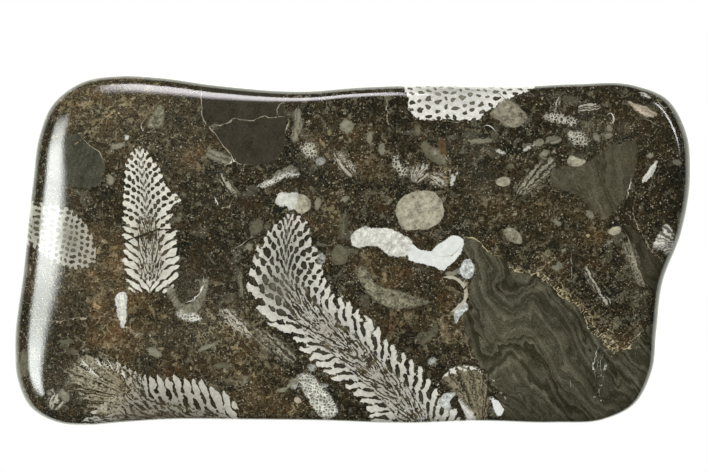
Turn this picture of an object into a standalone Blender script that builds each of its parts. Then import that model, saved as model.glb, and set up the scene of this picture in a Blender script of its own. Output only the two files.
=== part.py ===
"""A polished plate of fossil coral limestone: one stone with a wavy outline, lying on its flat sawn back.

Run with: blender --background --python part.py
Lengths are in metres and +Z is up. X runs along the plate and Y across it.
The origin is on the flat back, under the middle of the outline's box.
"""

import math

import bmesh
import bpy
import numpy as np

MM = 0.001

# Driving dimensions
THICKNESS = 14 * MM
BACK_ROLL = 3.5 * MM

# How finely the curves are stepped
OUTLINE_STEPS = 168
SPLINE_STEPS = 24
FACE_ROLL_STEPS = 10
BACK_ROLL_STEPS = 4

STONE_COLOUR = (0.105, 0.090, 0.060, 1.0)
STONE_ROUGHNESS = 0.15

# The widest outline as seen from above, anticlockwise from the right-hand end, in millimetres.
# Each point is x, y, then how far in from the outline the polished face starts to roll over,
# and how far it has dropped where it meets the side wall. The left-hand end is rolled the widest.
OUTLINE = (
    (77.4, 17.6, 5.0, 5.0),
    (76.4, 27.5, 5.5, 5.0),
    (72.0, 35.0, 6.0, 5.0),
    (64.6, 38.1, 5.0, 4.5),
    (51.0, 38.4, 4.0, 4.0),
    (38.5, 37.8, 3.6, 4.0),
    (31.0, 37.7, 3.5, 4.0),
    (23.0, 37.9, 3.5, 4.0),
    (9.5, 37.9, 3.1, 4.0),
    (0.5, 37.5, 3.0, 4.0),
    (-9.3, 36.7, 3.1, 4.0),
    (-31.6, 38.0, 5.0, 4.5),
    (-44.5, 39.7, 6.2, 5.0),
    (-53.5, 40.1, 6.8, 5.0),
    (-62.5, 38.6, 7.2, 5.0),
    (-69.4, 33.4, 8.0, 5.5),
    (-72.5, 26.1, 9.5, 6.0),
    (-74.0, 16.0, 13.0, 6.5),
    (-76.3, -4.5, 16.5, 7.0),
    (-78.4, -23.0, 11.0, 7.0),
    (-77.9, -29.9, 9.0, 7.0),
    (-74.6, -36.7, 6.5, 6.5),
    (-68.6, -39.9, 5.0, 5.5),
    (-61.5, -40.5, 3.5, 4.5),
    (-54.0, -39.8, 2.8, 3.5),
    (-43.3, -39.0, 2.4, 3.0),
    (-25.0, -38.9, 2.2, 3.0),
    (-7.5, -39.0, 2.2, 3.0),
    (12.1, -39.5, 2.2, 3.0),
    (29.5, -38.9, 2.2, 3.0),
    (46.6, -39.2, 2.2, 3.0),
    (57.8, -38.4, 2.5, 3.0),
    (64.6, -35.0, 2.8, 3.2),
    (68.7, -27.4, 3.0, 3.5),
    (69.8, -18.0, 3.2, 4.0),
    (71.1, -7.2, 3.6, 4.2),
    (75.4, 4.5, 4.2, 4.6),
)


def clear_scene():
    for thing in list(bpy.data.objects):
        bpy.data.objects.remove(thing, do_unlink=True)


def closed_spline(points, steps):
    """A smooth closed curve through the points: cubic Hermite spans whose slopes weigh both neighbours by chord length."""
    before, after = np.roll(points, 1, axis=0), np.roll(points, -1, axis=0)
    chord_in = np.linalg.norm((points - before)[:, :2], axis=1)[:, None]
    chord_out = np.linalg.norm((after - points)[:, :2], axis=1)[:, None]
    slope = (points - before) / chord_in * chord_out + (after - points) / chord_out * chord_in
    slope /= chord_in + chord_out
    t = np.linspace(0, 1, steps, endpoint=False)[None, :, None]
    start, end = points[:, None], after[:, None]
    leave = (slope * chord_out)[:, None]
    arrive = (np.roll(slope, -1, axis=0) * chord_out)[:, None]
    curve = (2 * t**3 - 3 * t**2 + 1) * start + (t**3 - 2 * t**2 + t) * leave
    curve += (3 * t**2 - 2 * t**3) * end + (t**3 - t**2) * arrive
    return curve.reshape(-1, points.shape[1])


def even_steps(curve, count):
    """The closed curve again, as points at equal distances along it."""
    closed = np.vstack([curve, curve[:1]])
    length = np.concatenate([[0], np.cumsum(np.linalg.norm(np.diff(closed[:, :2], axis=0), axis=1))])
    places = np.linspace(0, length[-1], count, endpoint=False)
    return np.column_stack([np.interp(places, length, column) for column in closed.T])


def outward_normals(curve):
    """Unit vectors square to an anticlockwise closed curve, pointing away from the plate."""
    along = np.roll(curve, -1, axis=0) - np.roll(curve, 1, axis=0)
    across = np.column_stack([along[:, 1], -along[:, 0]])
    return across / np.linalg.norm(across, axis=1)[:, None]


def plate_rings():
    """The plate's rings from the back's flat rim, round the edge and up to the face's flat rim."""
    curve = even_steps(closed_spline(np.array(OUTLINE) * MM, SPLINE_STEPS), OUTLINE_STEPS)
    rim, roll_in, roll_down = curve[:, :2], curve[:, 2], curve[:, 3]
    rim = rim - (rim.min(axis=0) + rim.max(axis=0)) / 2
    outward = outward_normals(rim)
    rings = []
    for step in range(BACK_ROLL_STEPS + 1):
        angle = math.pi / 2 * step / BACK_ROLL_STEPS
        inset = BACK_ROLL * (1 - math.sin(angle))
        height = BACK_ROLL * (1 - math.cos(angle))
        rings.append((rim - outward * inset, np.full(OUTLINE_STEPS, height)))
    for step in range(FACE_ROLL_STEPS + 1):
        angle = math.pi / 2 * step / FACE_ROLL_STEPS
        inset = roll_in * (1 - math.cos(angle))
        height = THICKNESS - roll_down * (1 - math.sin(angle))
        rings.append((rim - outward * inset[:, None], height))
    return rings


def plate_mesh():
    """Skins the rings from the back to the face and closes both ends with a flat face."""
    mesh = bpy.data.meshes.new("coral_plate")
    shape = bmesh.new()
    loops = [
        [shape.verts.new((x, y, z)) for (x, y), z in zip(places, heights)]
        for places, heights in plate_rings()
    ]
    for lower, upper in zip(loops, loops[1:]):
        for i in range(OUTLINE_STEPS):
            j = (i + 1) % OUTLINE_STEPS
            shape.faces.new((lower[i], lower[j], upper[j], upper[i]))
    shape.faces.new(list(reversed(loops[0])))
    shape.faces.new(loops[-1])
    bmesh.ops.recalc_face_normals(shape, faces=shape.faces)
    shape.to_mesh(mesh)
    shape.free()
    mesh.shade_smooth()
    mesh.set_sharp_from_angle(angle=math.radians(40))
    return mesh


def polished_limestone():
    """Dark olive-brown limestone with a high polish."""
    material = bpy.data.materials.new("polished_limestone")
    material.use_nodes = True
    surface = material.node_tree.nodes["Principled BSDF"]
    surface.inputs["Base Color"].default_value = STONE_COLOUR
    surface.inputs["Roughness"].default_value = STONE_ROUGHNESS
    surface.inputs["Metallic"].default_value = 0.0
    return material


def build():
    clear_scene()
    plate = bpy.data.objects.new("coral_plate", plate_mesh())
    plate.data.materials.append(polished_limestone())
    bpy.context.scene.collection.objects.link(plate)


build()
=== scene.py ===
# %% [markdown]
# # A polished plate of fossil coral limestone
# The real object is one stone: a slab of dark limestone full of broken corals and shells, ground flat,
# with its edges rolled over by hand and polished until it shines. Everything that catches the eye is
# colour inside the stone, cut through by the polished face. So the shape is simple and the finish is the
# work: one fine skin for the stone, with the fossils drawn by distances measured on that skin and by a
# procedural material that reads them.

# %% Load the fixed frame
import math

import bpy
import numpy as np
from mathutils import Matrix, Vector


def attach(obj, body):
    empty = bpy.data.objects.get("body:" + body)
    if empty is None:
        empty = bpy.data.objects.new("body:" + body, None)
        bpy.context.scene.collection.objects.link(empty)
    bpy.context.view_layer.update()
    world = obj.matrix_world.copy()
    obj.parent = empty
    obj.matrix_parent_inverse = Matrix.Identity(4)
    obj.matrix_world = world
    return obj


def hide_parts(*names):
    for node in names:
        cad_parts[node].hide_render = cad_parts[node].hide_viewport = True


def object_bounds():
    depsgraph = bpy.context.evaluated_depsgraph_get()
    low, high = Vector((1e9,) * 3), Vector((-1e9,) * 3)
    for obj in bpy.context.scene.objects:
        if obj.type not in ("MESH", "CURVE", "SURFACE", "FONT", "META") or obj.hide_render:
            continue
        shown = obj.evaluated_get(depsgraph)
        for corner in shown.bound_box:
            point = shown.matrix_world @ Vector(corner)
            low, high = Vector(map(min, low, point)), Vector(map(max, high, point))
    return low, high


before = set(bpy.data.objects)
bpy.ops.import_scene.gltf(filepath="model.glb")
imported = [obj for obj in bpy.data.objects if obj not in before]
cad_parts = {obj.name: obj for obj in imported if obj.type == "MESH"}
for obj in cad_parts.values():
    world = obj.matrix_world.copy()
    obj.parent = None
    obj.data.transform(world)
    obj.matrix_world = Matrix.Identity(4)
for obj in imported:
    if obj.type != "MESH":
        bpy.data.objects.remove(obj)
cad_box = np.array(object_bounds())
print("nodes in the frame:", sorted(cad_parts))

# %% [markdown]
# ## The outline
# The plate was sawn from a boulder and rounded on a wheel, so its outline wanders: a waist on the right,
# a fuller left end. A closed curve through given points gives that. Each point also says how far in
# the polished face starts to roll over there, and how deep the roll goes. Lengths are in millimetres
# until the mesh is made.

# %% The outline's points and the curve through them
MM = 0.001
THICKNESS = 14.0
BACK_ROLL = 3.5
SPLINE_STEPS = 24

# x, y, width of the face's roll, depth of the face's roll
OUTLINE = np.array((
    (77.4, 17.6, 5.0, 5.0), (76.4, 27.5, 5.5, 5.0), (72.0, 35.0, 6.0, 5.0), (64.6, 38.1, 5.0, 4.5),
    (51.0, 38.4, 4.0, 4.0), (38.5, 37.8, 3.6, 4.0), (31.0, 37.7, 3.5, 4.0), (23.0, 37.9, 3.5, 4.0),
    (9.5, 37.9, 3.1, 4.0), (0.5, 37.5, 3.0, 4.0), (-9.3, 36.7, 3.1, 4.0), (-31.6, 38.0, 5.0, 4.5),
    (-44.5, 39.7, 6.2, 5.0), (-53.5, 40.1, 6.8, 5.0), (-62.5, 38.6, 7.2, 5.0), (-69.4, 33.4, 8.0, 5.5),
    (-72.5, 26.1, 9.5, 6.0), (-74.0, 16.0, 13.0, 6.5), (-76.3, -4.5, 16.5, 7.0), (-78.4, -23.0, 11.0, 7.0),
    (-77.9, -29.9, 9.0, 7.0), (-74.6, -36.7, 6.5, 6.5), (-68.6, -39.9, 5.0, 5.5), (-61.5, -40.5, 3.5, 4.5),
    (-54.0, -39.8, 2.8, 3.5), (-43.3, -39.0, 2.4, 3.0), (-25.0, -38.9, 2.2, 3.0), (-7.5, -39.0, 2.2, 3.0),
    (12.1, -39.5, 2.2, 3.0), (29.5, -38.9, 2.2, 3.0), (46.6, -39.2, 2.2, 3.0), (57.8, -38.4, 2.5, 3.0),
    (64.6, -35.0, 2.8, 3.2), (68.7, -27.4, 3.0, 3.5), (69.8, -18.0, 3.2, 4.0), (71.1, -7.2, 3.6, 4.2),
    (75.4, 4.5, 4.2, 4.6),
))


def smooth_line(points, steps, closed):
    """A smooth curve through the points: on each span, its start, its end and two slopes are blended by the
    cubic Hermite weights. A point's slope averages the chords either side, each divided by its own length and
    weighed by the other's."""
    points = np.asarray(points, float)
    before, after = np.roll(points, 1, axis=0), np.roll(points, -1, axis=0)
    if not closed:
        before[0], after[-1] = 2 * points[0] - points[1], 2 * points[-1] - points[-2]
    chord_in = np.linalg.norm((points - before)[:, :2], axis=1)[:, None]
    chord_out = np.linalg.norm((after - points)[:, :2], axis=1)[:, None]
    slope = (points - before) / chord_in * chord_out + (after - points) / chord_out * chord_in
    slope /= chord_in + chord_out
    t = np.linspace(0, 1, steps, endpoint=False)[None, :, None]
    leave = (slope * chord_out)[:, None]
    arrive = (np.roll(slope, -1, axis=0) * chord_out)[:, None]
    curve = (2 * t**3 - 3 * t**2 + 1) * points[:, None] + (t**3 - 2 * t**2 + t) * leave
    curve = curve + (3 * t**2 - 2 * t**3) * after[:, None] + (t**3 - t**2) * arrive
    if closed:
        return curve.reshape(-1, points.shape[1])
    return np.vstack([curve[:-1].reshape(-1, points.shape[1]), points[-1:]])


curve = smooth_line(OUTLINE, SPLINE_STEPS, closed=True)
centre = (curve[:, :2].min(axis=0) + curve[:, :2].max(axis=0)) / 2
curve[:, :2] -= centre
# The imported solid's outline is a little coarser, so the curve is drawn in by a hair to stay inside its box.
HAIR_IN = 0.9999
curve[:, :2] *= (cad_box[1][:2] - cad_box[0][:2]) / MM / np.ptp(curve[:, :2], axis=0) * HAIR_IN
print("outline:", np.round(np.ptp(curve[:, :2], axis=0), 2), "mm")

# %% [markdown]
# ## The skin
# A rounded slab could be a subdivided cube or a bevelled extrusion, but the fossils need an even net of
# points to be measured on. So the outline is parted at its four corners into four sides, the flat face is
# the sheet stretched between those sides, the back is another, and rings of points run round the edge
# between the two.

# %% Four sides with evenly spaced points
SQUARES_ALONG = 264
SQUARES_ACROSS = 136


def run_to(line):
    """The distance along a line to each of its points: the sum of the steps before it."""
    return np.concatenate([[0], np.cumsum(np.linalg.norm(np.diff(line[:, :2], axis=0), axis=1))])


def stretch_of(first, last, count):
    """The closed curve from one corner to the next, as count + 1 points at equal distances along it."""
    part = np.roll(curve, -first, axis=0)[: (last - first) % len(curve) + 1]
    run = run_to(part)
    places = np.linspace(0, run[-1], count + 1)
    return np.column_stack([np.interp(places, run, column) for column in part.T])


corner = {
    name: int(np.argmax(curve[:, 0] * toward[0] + curve[:, 1] * toward[1]))
    for name, toward in {"sw": (-1, -1), "se": (1, -1), "ne": (1, 1), "nw": (-1, 1)}.items()
}
rim = np.vstack([
    stretch_of(corner["sw"], corner["se"], SQUARES_ALONG)[:-1],
    stretch_of(corner["se"], corner["ne"], SQUARES_ACROSS)[:-1],
    stretch_of(corner["ne"], corner["nw"], SQUARES_ALONG)[:-1],
    stretch_of(corner["nw"], corner["sw"], SQUARES_ACROSS)[:-1],
])
around = len(rim)
along_rim = np.roll(rim[:, :2], -1, axis=0) - np.roll(rim[:, :2], 1, axis=0)
outward = np.column_stack([along_rim[:, 1], -along_rim[:, 0]])
outward /= np.linalg.norm(outward, axis=1)[:, None]
print("points round the rim:", around)

# %% Sheets for the face and the back
def sheet_between(ring):
    """A sheet stretched inside a ring that starts at its south-west corner and runs anticlockwise: the blend
    of the south and north sides, plus the blend of the west and east sides, less the blend of the corners."""
    u = np.linspace(0, 1, SQUARES_ALONG + 1)[None, :, None]
    v = np.linspace(0, 1, SQUARES_ACROSS + 1)[:, None, None]
    closed = np.vstack([ring, ring[:1]])
    south_east = SQUARES_ALONG
    north_east = south_east + SQUARES_ACROSS
    north_west = north_east + SQUARES_ALONG
    south, east = closed[None, : south_east + 1], closed[south_east : north_east + 1][:, None]
    north, west = closed[north_east : north_west + 1][::-1][None], closed[north_west:][::-1][:, None]
    sides = (1 - v) * south + v * north + (1 - u) * west + u * east
    corners = (1 - v) * ((1 - u) * closed[0] + u * closed[south_east])
    corners = corners + v * ((1 - u) * closed[north_west] + u * closed[north_east])
    return (sides - corners).reshape(-1, 2)


back_rim = rim[:, :2] - outward * BACK_ROLL
face_rim = rim[:, :2] - outward * rim[:, 2:3]
face, back = sheet_between(face_rim), sheet_between(back_rim)
grid = np.arange(len(face)).reshape(SQUARES_ACROSS + 1, SQUARES_ALONG + 1)
rim_of_grid = np.concatenate([grid[0, :-1], grid[:-1, -1], grid[-1, :0:-1], grid[:0:-1, 0]])
print("points on the face:", len(face))

# %% Rings round the edge
BACK_STEPS, WALL_STEPS, FACE_STEPS = 5, 5, 14

# The back rolls over in a quarter circle, the wall is straight and the face rolls over in a quarter ellipse.
back_turn = np.linspace(0, math.pi / 2, BACK_STEPS + 1)[1:, None]
face_turn = np.linspace(0, math.pi / 2, FACE_STEPS + 1)[1:-1, None]
wall_part = np.linspace(0, 1, WALL_STEPS + 1)[1:, None]
wall_top = THICKNESS - rim[:, 3]
inset = np.vstack([
    BACK_ROLL * (1 - np.sin(back_turn)) * np.ones(around),
    np.zeros((WALL_STEPS, around)),
    rim[:, 2] * (1 - np.cos(face_turn)),
])
height = np.vstack([
    BACK_ROLL * (1 - np.cos(back_turn)) * np.ones(around),
    BACK_ROLL + wall_part * (wall_top - BACK_ROLL),
    THICKNESS - rim[:, 3] * (1 - np.sin(face_turn)),
])
edge = rim[None, :, :2] - outward[None] * inset[:, :, None]
rings = len(edge)
print("rings round the edge:", rings)

# %% One closed mesh
points = np.vstack([
    np.column_stack([face, np.full(len(face), THICKNESS)]),
    np.column_stack([back, np.zeros(len(back))]),
    np.column_stack([edge.reshape(-1, 2), height.reshape(-1)]),
])
ring_of = 2 * len(face) + np.arange(rings * around).reshape(rings, around)
ladder = np.vstack([len(face) + rim_of_grid, ring_of, rim_of_grid])
squares_up = np.stack([grid[:-1, :-1], grid[:-1, 1:], grid[1:, 1:], grid[1:, :-1]], axis=-1).reshape(-1, 4)
squares_down = len(face) + squares_up[:, ::-1]
beside = np.roll(ladder, -1, axis=1)
squares_round = np.stack([ladder[:-1], beside[:-1], beside[1:], ladder[1:]], axis=-1).reshape(-1, 4)
squares = np.vstack([squares_up, squares_down, squares_round])

mesh = bpy.data.meshes.new("coral_limestone_plate")
mesh.from_pydata((points * MM).tolist(), [], squares.tolist())
mesh.shade_smooth()
plate = bpy.data.objects.new("coral_limestone_plate", mesh)
bpy.context.scene.collection.objects.link(plate)
print("triangles:", 2 * len(squares))

# %% [markdown]
# ## A map of the skin
# The skin is peeled like an orange and laid out flat: the face with its rolled edge as one large piece,
# the wall in two long strips and the back as a smaller piece. A pattern painted or baked on that map
# keeps an even scale.

# %% Lay the skin out
# The map is one unit wide; each part's scale is one over the millimetres that would fill it.
FACE_SCALE, WALL_SCALE, BACK_SCALE = 1 / 166, 1 / 228, 1 / 250
MARGIN = 0.012

# How far each ring lies from the face's flat rim, measured over the roll.
ladder_points = points[ladder]
steps = np.linalg.norm(np.diff(ladder_points, axis=0), axis=2)
down_from_face = np.vstack([np.cumsum(steps[::-1], axis=0)[::-1], np.zeros(around)])
face_rows = FACE_STEPS
first_roll = len(ladder) - 1 - face_rows
peeled = face_rim[None] + outward[None] * down_from_face[first_roll:, :, None]
low = peeled.reshape(-1, 2).min(axis=0)
on_face = MARGIN + (face - low) * FACE_SCALE
on_roll = MARGIN + (peeled - low) * FACE_SCALE
face_top = on_roll[..., 1].max()

run = run_to(np.vstack([rim, rim[:1]]))
half = around // 2
drop = down_from_face[: first_roll + 1] - down_from_face[first_roll]
strip_high = drop.max() * WALL_SCALE + MARGIN
back_low = face_top + 2 * strip_high + 2 * MARGIN
on_back = np.column_stack([MARGIN + (back[:, 0].max() - back[:, 0]) * BACK_SCALE,
                           back_low + (back[:, 1] - back[:, 1].min()) * BACK_SCALE])


def map_corners(squares_part, table, offset=0):
    """The map place of each corner of the given squares, read from a table of places by point."""
    return table[squares_part - offset].reshape(-1, 2)


def ladder_corners(places):
    """The map places of the squares between rings: lower, lower beside, upper beside, upper."""
    next_places = np.roll(places, -1, axis=1)
    return np.stack([places[:-1], next_places[:-1], next_places[1:], places[1:]], axis=2)


strip = np.zeros((first_roll, around, 4, 2))
for number, part in enumerate((slice(0, half), slice(half, around))):
    start = run[part][0]
    left, right = run[:-1][part] - start, run[1:][part] - start
    base = face_top + MARGIN + number * strip_high
    for k, (sideways, row) in enumerate(((left, 0), (right, 0), (right, 1), (left, 1))):
        beside_drop = np.roll(drop, -1, axis=1) if k in (1, 2) else drop
        strip[:, part, k, 0] = MARGIN + sideways * WALL_SCALE
        strip[:, part, k, 1] = base + beside_drop[row : row + first_roll, part] * WALL_SCALE
map_of_plate = np.vstack([
    map_corners(squares_up, on_face),
    map_corners(squares_down, on_back, len(face)),
    strip.reshape(-1, 2),
    ladder_corners(on_roll).reshape(-1, 2),
])
layer = mesh.uv_layers.new(name="OFBake")
layer.uv.foreach_set("vector", map_of_plate.astype(np.float32).ravel())
print("map reaches", np.round(map_of_plate.min(axis=0), 3), "to", np.round(map_of_plate.max(axis=0), 3))

# %% [markdown]
# ## Measuring places in the stone
# A fossil is a body in the rock, and the plate's surface is a cut through it. Each one is described by an
# outline on the polished face, by how it leans as it goes down, and by how deep it reaches. Two measures
# draw them all: the distance to an outline, negative inside, and the place along and beside a line.

# %% Distance to an outline
# The tables that follow give places in the outline's own frame, as its points do.
x, y, deep = points[:, 0] + centre[0], points[:, 1] + centre[1], THICKNESS - points[:, 2]


def outline_distance(x, y, corners):
    """The least distance to any side of a closed outline, negative inside it, which is where a ray to the
    right crosses it an odd number of times."""
    nearest, inside = np.full(x.shape, np.inf), np.zeros(x.shape, bool)
    for (ax, ay), (bx, by) in zip(corners, np.roll(corners, -1, axis=0)):
        side_x, side_y = bx - ax, by - ay
        part = np.clip(((x - ax) * side_x + (y - ay) * side_y) / (side_x**2 + side_y**2), 0, 1)
        nearest = np.minimum(nearest, (x - ax - part * side_x) ** 2 + (y - ay - part * side_y) ** 2)
        if ay != by:
            inside ^= ((ay > y) != (by > y)) & (x < side_x * (y - ay) / side_y + ax)
    return np.sqrt(nearest) * np.where(inside, -1, 1)


print("points measured:", len(x))

# %% Place beside a line
RUN_ON = 40  # how far the run goes on past a line's ends, in mm


def beside_line(x, y, line):
    """The run along a line to the point nearest each place, the distance to the left of it, and the line's
    length. The run goes on past both ends."""
    nearest, run_along, leftward = np.full(x.shape, np.inf), np.zeros(x.shape), np.zeros(x.shape)
    start, last = 0.0, len(line) - 2
    for number, (a, b) in enumerate(zip(line[:-1], line[1:])):
        length = math.dist(a, b)
        ahead_x, ahead_y = (b - a) / length
        run_here = (x - a[0]) * ahead_x + (y - a[1]) * ahead_y
        left = (y - a[1]) * ahead_x - (x - a[0]) * ahead_y
        held = np.clip(run_here, 0 if number else -RUN_ON, length + RUN_ON if number == last else length)
        gap = (run_here - held) ** 2 + left**2
        closer = gap < nearest
        nearest = np.where(closer, gap, nearest)
        run_along = np.where(closer, start + held, run_along)
        leftward = np.where(closer, left, leftward)
        start += length
    return run_along, leftward, start


print("run, left and length:", *beside_line(np.ones(1), np.ones(1), np.array([[0.0, 0.0], [2.0, 0.0]])))

# %% Bodies and soft patches in the stone
FAR = 3.0  # distances are kept up to here, in mm
ROUND_CORNERS = 16


def ramp(value, low, high):
    """0 below low, 1 above high and a smooth S between them."""
    part = np.clip((value - low) / (high - low), 0, 1)
    return part * part * (3 - 2 * part)


def blend(first, second, share):
    """The first value where the share is 0 and the second where it is 1."""
    return first + (second - first) * share


def soft_patch(middle_x, middle_y, radius, down=0):
    """1 in the middle of a round patch, falling off as exp(-(distance / radius)^2)."""
    return np.exp(-((x - middle_x) ** 2 + (y - middle_y) ** 2 + down**2) / radius**2)


def body_distance(near, corners, lean, reach):
    """Distance to a body in the stone: the distance to its outline, leaned with depth, plus its size times
    1 - sqrt(1 - (depth / reach)^2), because it closes like an ellipse at its reach."""
    down = deep[near]
    flat = outline_distance(x[near] + lean[0] * down, y[near] + lean[1] * down, corners)
    size = math.sqrt(np.ptp(corners[:, 0]) * np.ptp(corners[:, 1])) / 2
    closing = 1 - np.sqrt(np.clip(1 - (down / reach) ** 2, 0, 1))
    return flat + size * closing + np.where(down > reach, FAR, 0)


def near_outline(corners, lean):
    """The points whose place, leaned or not, can be within reach of an outline."""
    wide = FAR + THICKNESS * max(abs(lean[0]), abs(lean[1]))
    low, high = corners.min(axis=0) - wide, corners.max(axis=0) + wide
    return (x > low[0]) & (x < high[0]) & (y > low[1]) & (y < high[1])


def claim(nearest, near, distance, limit=np.inf):
    """Notes the distance at the near points that no earlier body lies closer to. Returns which those are,
    among the near points and among all."""
    closer = (distance < nearest[near]) & (distance < limit)
    here = np.flatnonzero(near)[closer]
    nearest[here] = distance[closer]
    return closer, here


def round_outline(middle_x, middle_y, long, wide, turn):
    """An ellipse turned by degrees: long cos(angle) one way and wide sin(angle) square to it."""
    angle = np.linspace(0, 2 * math.pi, ROUND_CORNERS, endpoint=False)
    along, across = long * np.cos(angle), wide * np.sin(angle)
    cosine, sine = math.cos(math.radians(turn)), math.sin(math.radians(turn))
    return np.column_stack([middle_x + along * cosine - across * sine,
                            middle_y + along * sine + across * cosine])


print("points in a patch of 3 mm:", int((soft_patch(0, 0, 3, deep) > math.exp(-1)).sum()))

# %% [markdown]
# ## The corals
# Branching corals are bundles of tubes. The tubes run up the middle of a branch, thin and close together,
# then bend outwards and widen until they open at its side. Cut lengthwise they show as a fan of fine
# lines with coarse dark slots and white teeth along both margins; cut across they show as a net of oval
# pores. Each coral has an outline, an axis in its direction of growth and the size of its tubes. The skin
# carries the place along and beside the axis.

# %% The corals' outlines, axes and tube sizes
# outline, axis: the coral's edge and its direction of growth, in mm as all lengths here
# tube, slot: distance between tubes at the margin, and the length of a slot in tubes
# advance: how far a tube climbs on its way out, 0 where it is cut across
# spread: half the branch's width
# core_to: where the fine core starts to end and where it has ended, in spreads
# holes: half-width of a slot in tubes, low down, in the tip and at the margin
# long: half-length of a slot in slots, low down and in the tip
# tooth: how deep the margin is notched between tubes
# press: how much slots lengthen outwards, low down and in the tip
# open_from: how far along the axis the fine core gives way to open pores
# rise: slots to a tube along the axis from there on
# fine_tip: how much of the fine core goes on into the tip, none where it isn't given
# crowd: the run over which tubes draw twice as near, or part where it is negative
# lean: how far the coral shifts sideways for each mm down
# tint, pore: the colours of the bone and of what fills its pores
CORALS = {
    "tall_branch": dict(
        outline=((-49, 24), (-47.3, 23.6), (-45.8, 21.9), (-44.5, 20.2), (-43.3, 18.3), (-42.6, 16),
                 (-41.2, 13.6), (-39.4, 13), (-38.9, 11.3), (-40.6, 10.3), (-40.9, 8), (-41, 6),
                 (-39.6, 4.8), (-39.3, 2.5), (-39.5, -0.5), (-38.9, -3), (-38.8, -5.5), (-40.3, -7.5),
                 (-42, -9.6), (-46, -10), (-49.5, -9.9), (-51.3, -8.8), (-52.5, -6.5), (-52.7, -3),
                 (-52.9, 1.5), (-52.9, 6), (-52.7, 9), (-52.5, 13), (-52.4, 17), (-51.9, 20.5),
                 (-50.8, 22.6)),
        axis=((-46, -16), (-46.3, -8), (-46.4, -1), (-46.7, 6), (-47.3, 12), (-47.9, 17), (-48.4, 22),
              (-48.6, 27)),
        tube=2.2, slot=1.4, advance=7.5, spread=6.8, core_to=(0.28, 0.52), holes=(0.31, 0.31, 0.17),
        long=(0.45, 0.42), tooth=3.0, press=(0.06, 0.0), open_from=24, rise=0.7, crowd=400,
        lean=(0.35, 0.2), tint="#E6E4D4", pore="#403A2B",
    ),
    "great_branch": dict(
        outline=((-14, 9), (-12, 8.3), (-10, 7), (-9.3, 4.5), (-8.7, 2), (-7.4, 0), (-6.9, -2.5),
                 (-5.6, -5.5), (-4.4, -8), (-3.3, -9.3), (-1.3, -10.3), (0.8, -12.3), (2.8, -13.8),
                 (4.3, -15), (6, -16.3), (7.2, -18.3), (8.8, -19.8), (10.3, -21.2), (12.3, -22.8),
                 (14.3, -24.6), (16.4, -26.6), (18, -28.3), (19.6, -30.2), (21, -32.5), (23.5, -34.5),
                 (25.5, -38), (26, -45), (6, -45), (4.2, -38.5), (3.3, -36.5), (1.5, -34.3),
                 (-0.8, -32.3), (-4, -30), (-5.6, -28.3), (-8, -26.3), (-10.2, -24.6), (-12.2, -22.6),
                 (-15, -19.6), (-17.6, -18), (-20.2, -16), (-21.6, -14.3), (-22.3, -12.3), (-23.7, -10.4),
                 (-24, -8), (-23.7, -5), (-22.6, -2.2), (-22.2, 0.5), (-20.3, 3.2), (-18.8, 5.3),
                 (-16.5, 7.2)),
        axis=((19, -44), (14.5, -38), (9.8, -32.2), (4.3, -26.9), (-1.3, -21.6), (-6.5, -17.5),
              (-11.3, -12.5), (-14, -7.5), (-15, -2), (-14.8, 3.5), (-14.2, 11)),
        tube=2.3, slot=1.8, advance=11.5, spread=8.8, core_to=(0.24, 0.5), holes=(0.32, 0.34, 0.25),
        long=(0.46, 0.46), tooth=2.9, press=(0.03, 0.0), open_from=49, rise=0.6, crowd=-420,
        lean=(0.4, -0.3), tint="#E0DED1", pore="#37332A",
    ),
    "feather": dict(
        outline=((-54.6, -24.6), (-52.6, -25.4), (-50.3, -27), (-46.5, -28.2), (-42.5, -28), (-38, -28.6),
                 (-34, -29.4), (-30, -31.2), (-27, -33.4), (-25.4, -37), (-25, -45), (-64, -45),
                 (-61, -38), (-58.5, -35.5), (-55.5, -33.6), (-52.6, -31.6), (-54.2, -28)),
        axis=((-16, -46), (-30, -43.5), (-43, -41), (-54, -38), (-62, -33)),
        tube=2.5, slot=0.7, advance=13.0, spread=12.0, core_to=(0.4, 0.62), holes=(0.3, 0.3, 0.08),
        long=(0.44, 0.42), tooth=4.6, press=(0.08, 0.08), open_from=35, rise=0, fine_tip=1.0,
        crowd=400, lean=(0.2, -0.5), tint="#CDCBBD", pore="#332E1D",
    ),
    "top_net": dict(
        outline=((12.6, 36.8), (13.1, 34.5), (13, 33), (14, 31.3), (16, 30.2), (19, 30.1), (22, 30.3),
                 (24.5, 30), (27, 30.1), (29.3, 30.3), (30.8, 31.8), (32.8, 32.8), (35, 34.3),
                 (37.5, 35.6), (41, 37.3), (43, 39), (42, 44), (12, 44)),
        axis=((10, 33.5), (20, 33.2), (30, 34.2), (44, 37)),
        tube=2.0, slot=1.0, advance=0.0, spread=6.0, core_to=(0.3, 0.55), holes=(0.3, 0.3, 0.26),
        long=(0.27, 0.25), tooth=1.2, press=(0, 0), open_from=0, rise=0, crowd=1e6, lean=(0.3, 0.5),
        tint="#F1EFE5", pore="#6B6756",
    ),
    "edge_net": dict(
        outline=((-80, 10), (-73.5, 10.5), (-70, 10.8), (-66.5, 10.3), (-64, 9.5), (-62.3, 7.5),
                 (-60.5, 5.5), (-59.2, 3), (-58.6, 0.5), (-58.6, -2), (-60, -4), (-62.5, -4.3),
                 (-65, -4.2), (-68, -3), (-72, -0.6), (-80, 0.4)),
        axis=((-82, 2), (-70, 3), (-62, 2), (-54, 1)),
        tube=1.35, slot=1.0, advance=0.0, spread=6.0, core_to=(0.3, 0.55), holes=(0.33, 0.33, 0.3),
        long=(0.35, 0.33), tooth=1.6, press=(0, 0), open_from=0, rise=0, crowd=1e6,
        lean=(0.4, -0.2), tint="#B4B2A2", pore="#55523F",
    ),
}
for name, coral in CORALS.items():
    print(name, len(coral["outline"]), "points in its outline")

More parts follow.
